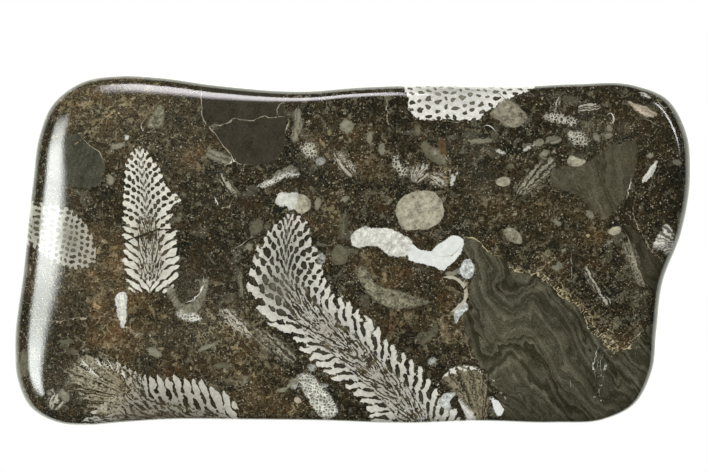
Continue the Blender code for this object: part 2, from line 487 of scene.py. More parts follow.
# %% Room for the coral measures
n_points = len(x)
coral_edge = np.full(n_points, FAR)
coral_place, coral_rise = np.zeros((n_points, 3)), np.zeros(n_points)
coral_style, coral_wall = np.zeros((n_points, 4)), np.zeros((n_points, 4))
coral_tint, coral_pore = np.zeros((n_points, 4)), np.zeros((n_points, 4))
coral_wall[:, 0] = -FAR


def linear(hex_colour):
    """An sRGB hex colour as linear light, by the sRGB curve."""
    parts = np.array([int(hex_colour[k : k + 2], 16) / 255 for k in (1, 3, 5)])
    return np.append(np.where(parts <= 0.04045, parts / 12.92, ((parts + 0.055) / 1.055) ** 2.4), 1.0)


print("middle grey as linear light:", linear("#808080").round(3))

# %% Coral measures on every point of the skin
OUTLINE_STEPS, AXIS_STEPS = 3, 8  # points to a span
CLOSING_REACH = 17.0  # how deep a coral goes before it closes, in mm
TUBES_APART = 31  # between the corals' tube numbers, so that each coral has chances of its own
OPENING = 5.0  # half the run, in mm, over which a branch opens into its tip
CORE_DEPTH, FINE_TIP_DEPTH = (2.5, 4.5), (0.4, 1.4)  # how far in the fine lines start and are whole
MARGIN_DEPTH = (2.0, 5.0)  # how far in the margin's slots give way to the inner ones
TIP_TOOTH = 0.4  # a tooth in the tip, as a share of one lower down
RISE_EARLY = 6  # how far below the tip its slots start to rise


def put_coral(coral, number):
    """Writes a coral's measures where it is the nearest one: its tube count, the place beside the axis in
    slots and in spreads, climb, hole, press, distance in, tooth, core, slot length and rise."""
    corners, lean = smooth_line(coral["outline"], OUTLINE_STEPS, closed=True), coral["lean"]
    near = near_outline(corners, lean)
    edge_here = body_distance(near, corners, lean, CLOSING_REACH)
    along, side, _ = beside_line(x[near] + lean[0] * deep[near], y[near] + lean[1] * deep[near],
                                 smooth_line(coral["axis"], AXIS_STEPS, closed=False))
    tube, inside = coral["tube"], -edge_here
    # 1 in the lower part of the branch, 0 in its open tip
    lower = 1 - ramp(along, coral["open_from"] - OPENING, coral["open_from"] + OPENING)
    core = 1 - ramp(np.abs(side) / coral["spread"], *coral["core_to"])
    core = core * ramp(inside, *CORE_DEPTH) * lower
    core += coral.get("fine_tip", 0.0) * (1 - lower) * ramp(inside, *FINE_TIP_DEPTH)
    at_margin = (1 - ramp(inside, *MARGIN_DEPTH)) * lower
    low_hole, tip_hole, margin_hole = coral["holes"]
    hole = blend(blend(tip_hole, low_hole, lower), margin_hole, at_margin)
    long = blend(coral["long"][1], coral["long"][0], lower)
    press = blend(coral["press"][1], coral["press"][0], lower)
    tooth = coral["tooth"] * (TIP_TOOTH + (1 - TIP_TOOTH) * lower)
    count = along * (1 + along / coral["crowd"]) / tube
    climb = np.full(hole.shape, coral["advance"] / tube)
    closer, here = claim(coral_edge, near, edge_here)
    coral_place[here] = np.column_stack([count + TUBES_APART * number, side / tube / coral["slot"],
                                         side / coral["spread"]])[closer]
    coral_style[here] = np.column_stack([climb, climb / coral["slot"], hole, press])[closer]
    coral_wall[here] = np.column_stack([inside, tooth, core, long])[closer]
    coral_rise[here] = (coral["rise"] / tube * np.maximum(along - coral["open_from"] + RISE_EARLY, 0))[closer]
    coral_tint[here] = linear(coral["tint"])
    coral_pore[here] = linear(coral["pore"])


for number, coral in enumerate(CORALS.values()):
    put_coral(coral, number)
print("points inside corals:", int((coral_edge < 0).sum()))

# %% Stains and painted shade on the bone
# x, y, radius in mm, bone colour, pore colour, how strongly: where mud and iron tinted the bone; the patch
# at (-77, 5) is painted shade, darkening the edge coral where it rolls over the left edge
STAINS_AND_SHADE = (
    (-15, 1.5, 7, "#A9A797", "#37332A", 0.5), (-17, -8.5, 4, "#ABA996", "#6E6B5A", 0.75),
    (-19.3, -8, 1.6, "#7A7660", "#3A3826", 0.6), (-5.5, -17.8, 3.2, "#C9BAA6", "#6B5A48", 0.45),
    (-46.8, 4, 3.2, "#A79C7E", "#5A4A30", 0.6), (-46, -3, 4, "#C9C0AB", "#5E4E36", 0.5),
    (-41, -39, 6, "#8F8873", "#2E2617", 0.75), (-54, -30.5, 4, "#8F8262", "#4A3820", 0.9),
    # The patch at (-77, 5) darkens the edge coral on the rolled left edge: painted shade.
    (8, -30, 5, "#C2BCA4", "#4A4632", 0.5), (-77, 5, 5, "#A19F8E", "#45432F", 0.85),
    (-65, 4, 2.6, "#9B9986", "#6E6A56", 0.7), (-50, -37, 5, "#857D68", "#2E2617", 0.7),
    (-33, -39, 5, "#A39D8A", "#2E2617", 0.6),
)
for middle_x, middle_y, radius, bone_stain_and_shade, pore_stain_and_shade, strong in STAINS_AND_SHADE:
    weight = strong * soft_patch(middle_x, middle_y, radius, deep)[:, None]
    coral_tint += weight * (linear(bone_stain_and_shade) - coral_tint)
    coral_pore += weight * (linear(pore_stain_and_shade) - coral_pore)
print("stains:", len(STAINS_AND_SHADE))

# %% [markdown]
# ## Mudstone clasts
# Three pieces of smooth olive mudstone lie among the corals: a large one that was still soft and flowed,
# so that its layers swirl, a triangle and a wedge. Darker, plain pieces lie at the top and left. A mud
# layer is a line of equal height on an invisible slope, so its number is a slanting ramp with a step
# where it buckled and a few curls added.

# %% Mudstone outlines
# outline, tint, how strongly the layers show, lean
MUDSTONE = (
    (((25.8, 2.8), (28, 3.2), (30, 1.5), (32, -0.5), (34.5, -0.8), (35.5, -3), (37, -4), (40, -5),
      (44, -6.7), (46.5, -8.3), (49, -10.5), (52, -12.5), (53.8, -15), (54.5, -17.5), (57, -19.5),
      (59.5, -22.5), (62, -22.3), (64, -21), (65.5, -20), (66, -18.5), (67, -17.8), (69, -16), (80, -17),
      (82, -50), (37, -50), (35.6, -40), (34.4, -36), (33, -31), (31, -27.5), (28.5, -24), (27, -20),
      (26, -17.5), (26.5, -14), (27.5, -10), (27, -8), (28.3, -5), (28.3, -2), (26.8, -1), (25.6, 1)),
     "#454333", 1.0, (0.25, 0.15)),
    (((46.5, 19), (50, 19.7), (54, 20.5), (57, 22.5), (60, 24.5), (65, 25), (65.3, 22), (64.5, 18),
      (63.2, 14), (61.5, 11), (59, 8.6), (57, 8.6), (55, 10), (52.5, 12.5), (49, 14), (46, 15.5),
      (45.2, 17.5)), "#4A4636", 0.45, (0.4, 0.2)),
    (((62, 6.4), (64.7, 5), (66.5, 3), (68.5, 0), (70.5, -1.5), (76, -3), (78, -12), (69, -9.5),
      (66.8, -5.5), (65.5, -2), (64, 2), (62.5, 4.5)), "#363325", 0.6, (0.2, 0.3)),
    (((-34, 44), (-34.1, 35), (-34.3, 30.3), (-33, 29), (-30, 25), (-27.3, 21.8), (-26, 20.2), (-20, 20),
      (-17, 21.5), (-15.5, 24), (-15, 27), (-14.8, 31), (-16, 34), (-17, 44)), "#393529", 0.15,
     (0.3, -0.3)),
    (((-67.5, 26), (-62.3, 26.5), (-61, 25), (-59.5, 23.8), (-57.6, 22.5), (-57, 20.3), (-57.5, 16),
      (-60, 14.6), (-65, 15), (-68, 16.2), (-68.8, 21)), "#444336", 0.3, (0.2, 0.3)),
)
print("pieces of mudstone:", len(MUDSTONE))

# %% The mud's layers
# The great clast flowed down to the right while soft, and its layers step sideways where it buckled, along a
# line that leans across them.
LAYER_TURN = 61.0
BUCKLE, BUCKLE_RUN = 4.4, 3.2
BUCKLE_AT, BUCKLE_LEAN, BUCKLE_LAYER = 34.3, 0.84, 22.5
BEND, BEND_AT = 0.008, 35
layer_turn = math.radians(LAYER_TURN)
flow = x * math.cos(layer_turn) - y * math.sin(layer_turn)
layer = x * math.sin(layer_turn) + y * math.cos(layer_turn)
buckled_at = BUCKLE_AT - BUCKLE_LEAN * (layer - BUCKLE_LAYER)
layer_height = layer - BUCKLE * (1 + np.tanh((flow - buckled_at) / BUCKLE_RUN)) - BEND * (flow - BEND_AT) ** 2
# Small curls, and soft shades of the mud: x, y, radius in mm, then the curl's height or the shade's factor
CURLS = (
    (35.2, -7.3, 3, 2), (36.8, -29.5, 2.8, 2.6), (44, -33, 3, -2), (57, -33, 3.5, 2),
    (48, -27, 3, 1.6),
)
SHADES = (
    (52, -15.5, 4.5, 0.70), (57.5, -22.5, 3, 0.75), (58, -31, 5.5, 0.58),
    (48, -36, 5, 0.64), (35.2, -7.3, 2.4, 0.68), (45, -10, 3.5, 0.85), (66, -24, 4, 0.8),
    (29, -14, 3, 0.85), (33.5, -16.5, 3.5, 1.2), (39, -23.5, 4.5, 1.22), (45.5, -20, 3.5, 1.1),
    (65, -30.5, 3, 1.15), (63, 22.5, 2.2, 1.3), (55, 14, 4, 1.15), (32, -24, 4, 1.1),
    (38, -36, 4, 0.85),
)
for middle_x, middle_y, radius, tall in CURLS:
    layer_height += tall * soft_patch(middle_x, middle_y, radius)
print("layer numbers from", round(layer_height.min(), 1), "to", round(layer_height.max(), 1))

# %% Mudstone measures
MUD_REACH = 40.0  # in mm; the clasts go right through the plate
LAYER_DIP = 0.5  # how much the layer number grows for each mm down
mud_edge = np.full(n_points, FAR)
mud_layer, mud_tint = np.zeros((n_points, 3)), np.zeros((n_points, 4))
for outline, tint, strength, lean in MUDSTONE:
    corners = smooth_line(outline, OUTLINE_STEPS, closed=True)
    near = near_outline(corners, lean)
    edge_here = body_distance(near, corners, lean, MUD_REACH)
    closer, here = claim(mud_edge, near, edge_here)
    mud_layer[here] = np.column_stack([edge_here, layer_height[near] + LAYER_DIP * deep[near],
                                       np.full(edge_here.shape, strength)])[closer]
    mud_tint[here] = linear(tint)
for middle_x, middle_y, radius, factor in SHADES:
    mud_tint[:, :3] *= 1 + (factor - 1) * soft_patch(middle_x, middle_y, radius)[:, None]
print("points inside mudstone:", int((mud_edge < 0).sum()))

# %% [markdown]
# ## Shells, pebbles and fragments
# Between the corals lie a beige pebble, a white shell joined to a lump of clear white calcite, and dozens
# of small broken pieces. Each is an outline with a tint, a mottle and, on shells and fans, ribs. Ribs are
# counted across a direction or round a point, and the material turns the count into light and dark lines.

# %% Kinds of fragment
# tint, how mottled, how strongly ribbed, how strongly netted, how open to the ground between
KINDS = {
    "calcite": ("#E6E9E2", 0.16, 0.05, 0.0, 0.0),
    "white": ("#D2D2C6", 0.4, 0.3, 0.0, 0.3),
    "shell": ("#E0DFD3", 0.5, 0.28, 0.0, 0.1),
    "pebble": ("#A6A18B", 0.85, 0.0, 0.0, 0.0),
    "grey": ("#86836F", 0.6, 0.5, 0.0, 0.3),
    "dim": ("#66634F", 0.6, 0.5, 0.0, 0.4),
    "crystal": ("#A9AAA0", 1.1, 0.0, 0.4, 0.35),
    "facet": ("#CDD1CA", 0.9, 0.0, 0.35, 0.05),
    "brown": ("#5E4B33", 0.6, 0.3, 0.0, 0.3),
    "rib": ("#B9B5A3", 0.5, 1.0, 0.0, 0.9),
    "pink": ("#C4B6A0", 0.5, 0.4, 0.0, 0.2),
    "net": ("#BDBAA8", 0.7, 0.0, 0.85, 0.85),
    "lens": ("#86826B", 1.3, 0.35, 0.3, 0.35),
    "fan": ("#857D65", 0.8, 1.0, 0.0, 0.6),
    "frond": ("#98937E", 0.9, 0.75, 0.25, 0.8),
    "block": ("#8A8571", 1.1, 0.2, 0.0, 0.15),
    "white_rib": ("#DAD8CA", 0.4, 0.9, 0.0, 0.45),
    "sponge": ("#CFCEC0", 0.9, 0.0, 0.8, 0.35),
    "streaks": ("#969079", 0.9, 1.0, 0.0, 1.0),
}
print("kinds of fragment:", len(KINDS))

# %% The fragments
# kind; outline, or x, y, half-length, half-width and turn; ribs, as turn and spacing in mm, or as the point
# that they fan out from and the degrees between them
FRAGMENTS = (
    ("pebble", ((10.8, 11.5), (13, 13.3), (16, 14), (19, 13.7), (20.8, 11.5), (21.3, 9), (20.4, 7),
                (19, 5.8), (15, 5.1), (12, 5.3), (10.9, 7), (10.3, 9)), (80, 0.9)),
    ("shell", ((0.1, 3.6), (1.5, 5.2), (3.5, 5.7), (6, 5.3), (8, 5.6), (10, 5), (12, 3.8), (14, 2.4),
               (13.6, 0.3), (12.7, -0.8), (10, -1), (8.3, -0.6), (7, 0.6), (5.5, 1.5), (3.5, 1.3),
               (1.5, 1), (0.2, 1.6)), (2.5, -6.5, 3.2)),
    ("calcite", ((13.2, -1.8), (14.2, 1.8), (15.5, 0.8), (17.5, 0.2), (18.6, 0.1), (19.3, 1.3),
                 (21.5, 2.7), (23.5, 3.9), (25, 3.5), (25.8, 2.5), (25.3, 0.5), (24.5, -1.2), (22.5, -3),
                 (21, -4.2), (20, -3.8), (18, -3), (15, -2.4)), None),
    ("white", (-15.6, 12, 1.8, 1.6, 0), None), ("white", (-13.4, 11.6, 2, 1.9, 60), None),
    ("pebble", (-11.4, 10.9, 2.1, 2.3, 20), (85, 0.45)),
    ("facet", ((24.8, -4.2), (25.5, -2.4), (26.7, -1.4), (28.1, -3), (28, -4.9), (27, -6.1),
               (25.4, -5.5)), None),
    ("facet", ((23.8, -12.8), (26.3, -11.3), (26.8, -13), (25, -14.6), (24.2, -16.5), (23.6, -14.5)),
     None),
    ("grey", ((21.3, -5.2), (23, -4.2), (24.6, -4.6), (23, -5.7)), None),
    ("block", ((31.7, 31.6), (33.2, 33.2), (34.7, 34.8), (35.3, 34.9), (37.4, 34.1), (39, 32.6),
               (40.3, 30.9), (40.2, 30.3), (39, 29.3), (37.8, 28.4), (37.2, 28.4), (35.4, 28.8),
               (33.4, 30.3)), (-40, 1.6)),
    ("grey", (20, 22, 2.6, 1.1, -40), (-45, 0.7)),
    ("dim", ((15.8, 25.5), (17.2, 25.2), (19.5, 22.8), (21.6, 20.8), (20.6, 19.9), (18.5, 21),
             (16.6, 23)), None),
    ("brown", (20.9, 23.5, 1, 2.7, 5), None), ("dim", (15.3, 27.8, 0.9, 1.1, 0), None),
    ("grey", (29.2, 25.4, 3.2, 0.5, 3), None), ("white", (34.2, 22.9, 1.2, 0.3, -25), None),
    ("grey", (7.1, 23.5, 0.7, 1.4, 0), None), ("grey", (-1, 28.7, 1.6, 1.5, 0), None),
    ("grey", ((4.6, 27.6), (3.9, 26.8), (3.6, 25.6), (4.9, 24.3), (4.6, 25.4), (4.9, 26.7)), None),
    ("rib", ((13.4, 17), (14, 19.2), (15.8, 20), (18, 19.3), (17.7, 17.8), (16.2, 16.3), (14.6, 15.8)),
     (14, 15, 8)),
    ("rib", ((17.5, 15.8), (18.3, 17.6), (19.5, 18.6), (21.3, 17), (21.8, 15.4), (19.5, 15.3)),
     (16, 19, 9)),
    ("white", ((22.3, 18.7), (23.4, 17.7), (24.6, 18.3), (23.9, 17.2), (23.1, 15.4), (22.6, 15.3),
               (23.2, 17)), None),
    ("pebble", (34.8, 16.1, 1.7, 1.1, 5), None),
    ("block", ((34.9, 5.2), (36.2, 5.8), (38, 5), (39.2, 3.2), (38.8, 1.8), (37.2, 2.2), (35.6, 3.2)),
     None),
    ("grey", (43, 25, 1.3, 0.8, 10), None), ("grey", (44.1, 22.6, 1.1, 0.8, 20), None),
    ("pebble", ((49.3, 20.8), (50.7, 22.2), (51.8, 21.5), (54, 20.9), (52.6, 19.9), (50.5, 19.7)), None),
    ("grey", (46.2, 25.6, 1.9, 0.9, 0), (20, 0.5)), ("white", (40.4, 23.7, 1.2, 0.2, 28), None),
    ("frond", ((37.6, 13.6), (39.4, 17), (42.6, 20.2), (45.4, 21.6), (46.8, 21), (46.2, 19), (43.4, 16),
               (40, 13)), (35, 9.5, 3.5)),
    ("net", ((44.2, 31.2), (46.6, 31.9), (49.5, 31), (52, 29.8), (50.8, 28.8), (48, 29.4), (45.6, 29.8)),
     None),
    ("net", ((49.2, 27.2), (51.4, 27.6), (53.6, 26.4), (54.2, 24.9), (51.6, 24.6), (49.8, 25.6)), None),
    ("rib", (54.2, 33.1, 2.4, 1.1, 0), (8, 0.5)), ("rib", (47, 33.9, 1.6, 0.4, 75), (75, 0.4)),
    ("pink", ((63.1, 34.9), (64.6, 33.9), (66.5, 33.7), (68.1, 32.7), (69.9, 31.6), (68.4, 30.9),
              (66.6, 31.3), (65, 32.4)), (-35, 0.8)),
    ("white", (67.3, 36.4, 2, 0.7, -38), None), ("grey", (58.9, 28.6, 0.5, 1.2, 25), None),
    ("grey", (58.8, 26.8, 0.9, 0.6, 20), None), ("grey", (56, 26.2, 0.6, 1, 20), None),
    ("shell", ((66.3, 15.9), (67.6, 18.5), (69.8, 21.1), (68.9, 18.2), (67.3, 16.3)), (60, 0.4)),
    ("grey", (68.2, 22.2, 0.8, 0.6, -30), None), ("grey", (74.6, 20.7, 1.2, 0.6, 0), None),
    ("white_rib", ((69, 1.4), (69.8, 3.6), (71, 5.4), (72.5, 6.4), (73.8, 5), (74.2, 3), (73.6, 0.6),
                   (72.2, -0.6), (71.2, 0.8), (70, 0.6)), (75.5, 1.5, 9)),
    ("rib", ((53.4, -3.4), (54.2, -3.6), (56.4, -7.9), (59.5, -12), (58.6, -12.2), (55.5, -8.4)),
     (-60, 0.5)),
    ("grey", ((45.7, -3.2), (47, -3), (47.3, -1.8), (48.2, -2.6), (47.9, -3.9), (46.8, -4.3)), None),
    ("grey", (48.7, 0.4, 0.4, 0.9, -25), None), ("dim", (43.3, -8.2, 1.4, 0.7, 0), None),
    ("pebble", (60.2, 5, 1.5, 1, 20), None), ("grey", (58.9, 2.3, 1.5, 0.35, 25), None),
    ("frond", ((62.4, 2.6), (63.8, 2.2), (65.6, -1.6), (66.6, -5), (66.8, -8.2), (65, -6.4),
               (63.6, -2.6)), (-70, 0.5)),
    ("grey", (47.1, 6.9, 1.3, 0.5, -40), None), ("grey", (54.6, 8.6, 1.3, 0.6, -50), None),
    ("lens", ((-44.2, 33.6), (-43.1, 33.2), (-43, 30.6), (-43.3, 28.5), (-45, 28.2), (-46.9, 28.6),
              (-46.4, 30.3), (-45.3, 31.8)), (60, 0.8)),
    ("grey", (-53.7, 24.1, 1.8, 0.7, 8), None), ("white", (-51.5, 26, 0.5, 0.5, 0), None),
    ("grey", (-55.3, 16.4, 0.8, 1.3, 10), None), ("grey", (-30.4, 21.6, 3.2, 1.3, -22), (-22, 0.6)),
    ("rib", (-28.4, 15.3, 3.1, 0.8, -55), (-58, 0.6)),
    ("grey", ((-12.2, 33), (-11.4, 30.8), (-10.9, 29), (-11.8, 27), (-12.4, 25.3), (-13.6, 25.6),
              (-13.5, 27.5), (-12.8, 29.5), (-13.6, 31.6)), (80, 0.7)),
    ("sponge", ((-21.4, 15), (-20.3, 14.6), (-17, 16), (-14, 17.2), (-11.6, 17.4), (-13.3, 18.3),
                (-15.5, 18), (-18.8, 16.4)), (25, 0.8)),
    ("grey", ((-18.3, 17.2), (-16, 18.9), (-13.6, 19.6), (-12, 18.7), (-13.6, 18.9), (-16, 18)),
     (25, 0.5)),
    ("net", ((-11.5, 23.6), (-9.9, 25), (-8.1, 24), (-8, 21.9), (-10.2, 21.6)), None),
    ("crystal", (-7, 20.6, 1.1, 0.9, 0), None),
    ("rib", ((-3.9, 22.3), (-2.4, 22.9), (-0.8, 21.2), (1, 19.4), (1.4, 17.8), (0.2, 17.3), (-1.8, 18.5),
             (-3.3, 20.2)), (-6, 25.5, 6)),
    ("net", ((9.5, 22.1), (10.7, 21.8), (11.5, 20), (12.9, 19.2), (13, 17.8), (11.6, 17.5), (10.3, 18.4),
             (9.5, 20.2)), None),
    ("dim", ((-3.1, 1.8), (-1, 0.5), (-0.9, -1.8), (-3, -3.1), (-4.4, -1.5), (-4.1, 0.5)), None),
    ("crystal", (-6.8, -1.5, 0.9, 1.3, 10), None), ("grey", (-7.7, 11, 0.7, 1.5, -10), None),
    ("grey", (-1.5, 12, 1.1, 0.6, 20), None), ("dim", (-1.8, 6, 0.9, 3, -10), (85, 0.5)),
    ("grey", (-23.4, 1, 0.8, 0.9, 0), None), ("grey", (-25.4, -7.4, 0.45, 3.4, 5), (88, 0.4)),
    ("dim", ((-22.2, 6.8), (-21, 7.4), (-20.4, 5), (-22, 4), (-23.4, 5)), None),
    ("shell", ((-54.1, -9.8), (-52, -9.4), (-51.7, -12.5), (-51.8, -15.8), (-52.4, -18), (-53.4, -16),
               (-54, -13)), (-84, 0.45)),
    ("streaks", ((-54, -26.8), (-57, -24.6), (-60.5, -23.8), (-63.5, -25.4), (-65, -28.5), (-63.5, -31.8),
                 (-61, -35), (-58, -37.4), (-54, -37.6), (-52, -35.5), (-53, -32), (-53, -29)),
     (-45.5, -35.5, 2.5)),
    ("rib", ((-69.8, -32.2), (-67.8, -32.8), (-66.3, -34.8), (-67.6, -36.5), (-69, -36.4)),
     (-70, -38.5, 10)),
    ("dim", (-65.7, -20.8, 1.8, 0.5, 3), None), ("dim", (-75.4, -26, 1.3, 4.2, -5), None),
    ("grey", (-45.3, -23.3, 1.9, 0.9, -25), None), ("white", (-59.4, -29.1, 1, 0.3, -15), None),
    ("white", (-61.7, -29.9, 0.6, 0.3, 0), None), ("grey", (-66, -33.2, 0.9, 1.6, 30), None),
    ("grey", (-32.8, -21.9, 2.5, 0.5, 22), None), ("dim", (-29.5, -26.3, 2.4, 0.6, -3), None),
    ("rib", ((-30, -13.4), (-27.6, -13.2), (-24.8, -15.6), (-22.7, -19.3), (-25.2, -19), (-28, -17)),
     (-44, 0.6)),
    ("grey", ((-24.8, -28.6), (-24, -29.3), (-24.1, -30.4), (-25.2, -30.9), (-24.7, -29.9)), None),
    ("grey", ((-17.2, -31.8), (-15, -30.9), (-12.8, -28.7), (-12, -29), (-14, -31.2), (-16.4, -32.4)),
     None),
    ("sponge", ((-12.2, -28.6), (-9.8, -28), (-6.4, -31.4), (-3, -36.6), (-5.4, -38.6), (-8.6, -36),
                (-11, -32)), (-52, 0.55)),
    ("grey", ((-42.4, -7.6), (-41.9, -10.4), (-40.4, -13), (-38, -14.8), (-35.4, -13.9), (-33.8, -11),
              (-33.1, -6.2), (-34.2, -6.6), (-35, -9.6), (-36.4, -11.6), (-38.4, -12.2), (-40, -10.8),
              (-41, -8.2)), (-37.5, -7, 7)),
    ("sponge", (-37.2, -14.9, 3, 1.2, -12), None),
    ("frond", ((-22.5, -17.5), (-19, -18.6), (-15, -21.8), (-12.4, -25), (-14.6, -25.8), (-18, -23.4),
               (-21.8, -20.4)), (-42, 0.6)),
    ("fan", ((20.8, -29.2), (23, -27.1), (25.5, -26), (28, -26.2), (30, -27.4), (31.2, -30), (31.6, -33),
             (31.3, -36.5), (30.5, -43), (28.5, -38), (26.5, -35), (24.5, -32.8), (22, -30.6)),
     (30, -41, 5)),
    ("pink", (-12.3, -34.1, 0.8, 0.6, 0), None), ("crystal", (-12.9, -30.9, 0.7, 0.9, 30), None),
    ("crystal", (-6, -30.8, 0.8, 0.5, 0), None), ("crystal", (-9, -26.6, 0.9, 0.9, 0), None),
    ("lens", ((2, -3), (3.5, -4), (6, -7.5), (9, -8.5), (13, -9.3), (16, -10.9), (18.2, -11.3),
              (14, -12.6), (10, -13), (6, -11.5), (3, -8.4), (1.4, -5)), (-35, 1.1)),
    ("dim", ((15.6, -18.2), (17.6, -18.4), (19.6, -16.2), (20, -17.8), (18.4, -20.2), (15.8, -21.3)),
     (50, 1)),
    ("shell", ((24.6, -33.4), (25.8, -34.3), (28.2, -36.8), (29.8, -40), (28, -40), (26, -36.6)),
     (-48, 0.5)),
    ("calcite", ((32.3, -33.2), (33.3, -33.7), (34.9, -37), (33.8, -37.6), (32.8, -36)), None),
    ("facet", ((21, -32.6), (24, -32.4), (22.6, -34.2), (22.8, -36), (20.6, -35.4)), None),
    ("crystal", (18.5, -25, 1, 0.8, 30), None), ("dim", (-31.3, 28.9, 0.8, 0.4, 0), None),
    ("dim", (2.5, -24.5, 0.5, 0.5, 0), None),
)
print("fragments:", len(FRAGMENTS))

# %% Fragment measures
FRAGMENT_LEAN = (0.3, 0.2)  # how far a fragment or vein shifts for each mm down
LEAST_REACH = 3.0  # in mm; a larger fragment goes as deep as it is wide
lump_edge = np.full(n_points, FAR)
lump, lump_look, lump_tint = (np.zeros((n_points, size)) for size in (3, 3, 4))
lump[:, 0] = FAR


def count_ribs(ribs, x, y):
    """How many ribs a place lies across: its distance square to a turned direction over the spacing, or its
    bearing from a point over the degrees between ribs."""
    if ribs is None:
        return np.zeros(x.shape)
    if len(ribs) == 2:
        turn, spacing = math.radians(ribs[0]), ribs[1]
        return (y * math.cos(turn) - x * math.sin(turn)) / spacing
    return np.degrees(np.arctan2(y - ribs[1], x - ribs[0])) / ribs[2]


def put_fragment(kind, shape, ribs):
    """Writes a fragment's edge distance, rib count, mottle, look and tint where it is the nearest one."""
    tint, mottle, *look = KINDS[kind]
    is_round = len(shape) == 5 and np.isscalar(shape[0])
    corners = round_outline(*shape) if is_round else smooth_line(shape, OUTLINE_STEPS, closed=True)
    near = near_outline(corners, FRAGMENT_LEAN)
    reach = max(LEAST_REACH, math.sqrt(np.ptp(corners[:, 0]) * np.ptp(corners[:, 1])))
    edge_here = body_distance(near, corners, FRAGMENT_LEAN, reach)
    closer, here = claim(lump_edge, near, edge_here)
    lump[here] = np.column_stack([edge_here, count_ribs(ribs, x[near], y[near]),
                                  np.full(edge_here.shape, mottle)])[closer]
    lump_look[here] = look if ribs else (0.0, *look[1:])
    lump_tint[here] = linear(tint)


for kind, shape, ribs in FRAGMENTS:
    put_fragment(kind, shape, ribs)
print("points inside fragments:", int((lump_edge < 0).sum()))

# %% [markdown]
# ## Veins and rims
# Thin things are drawn as strokes: tan veins that healed cracks, golden seams between the pieces, the
# crisp rim of a hollow shell. A line thinner than the net's squares would break up if only its distance
# were kept, because a distance has a crease at zero. The signed offset to one side has no crease, so the
# skin carries that.

# %% The strokes
STROKE_TINTS = {
    "tan": "#A59C86", "gold": "#A3956F", "white": "#DEDDD0", "grey": "#A5A18C",
    "dark": "#2E2A1C", "beige": "#A39C84", "ring": "#BCB7A2", "glint": "#CDBF98",
}
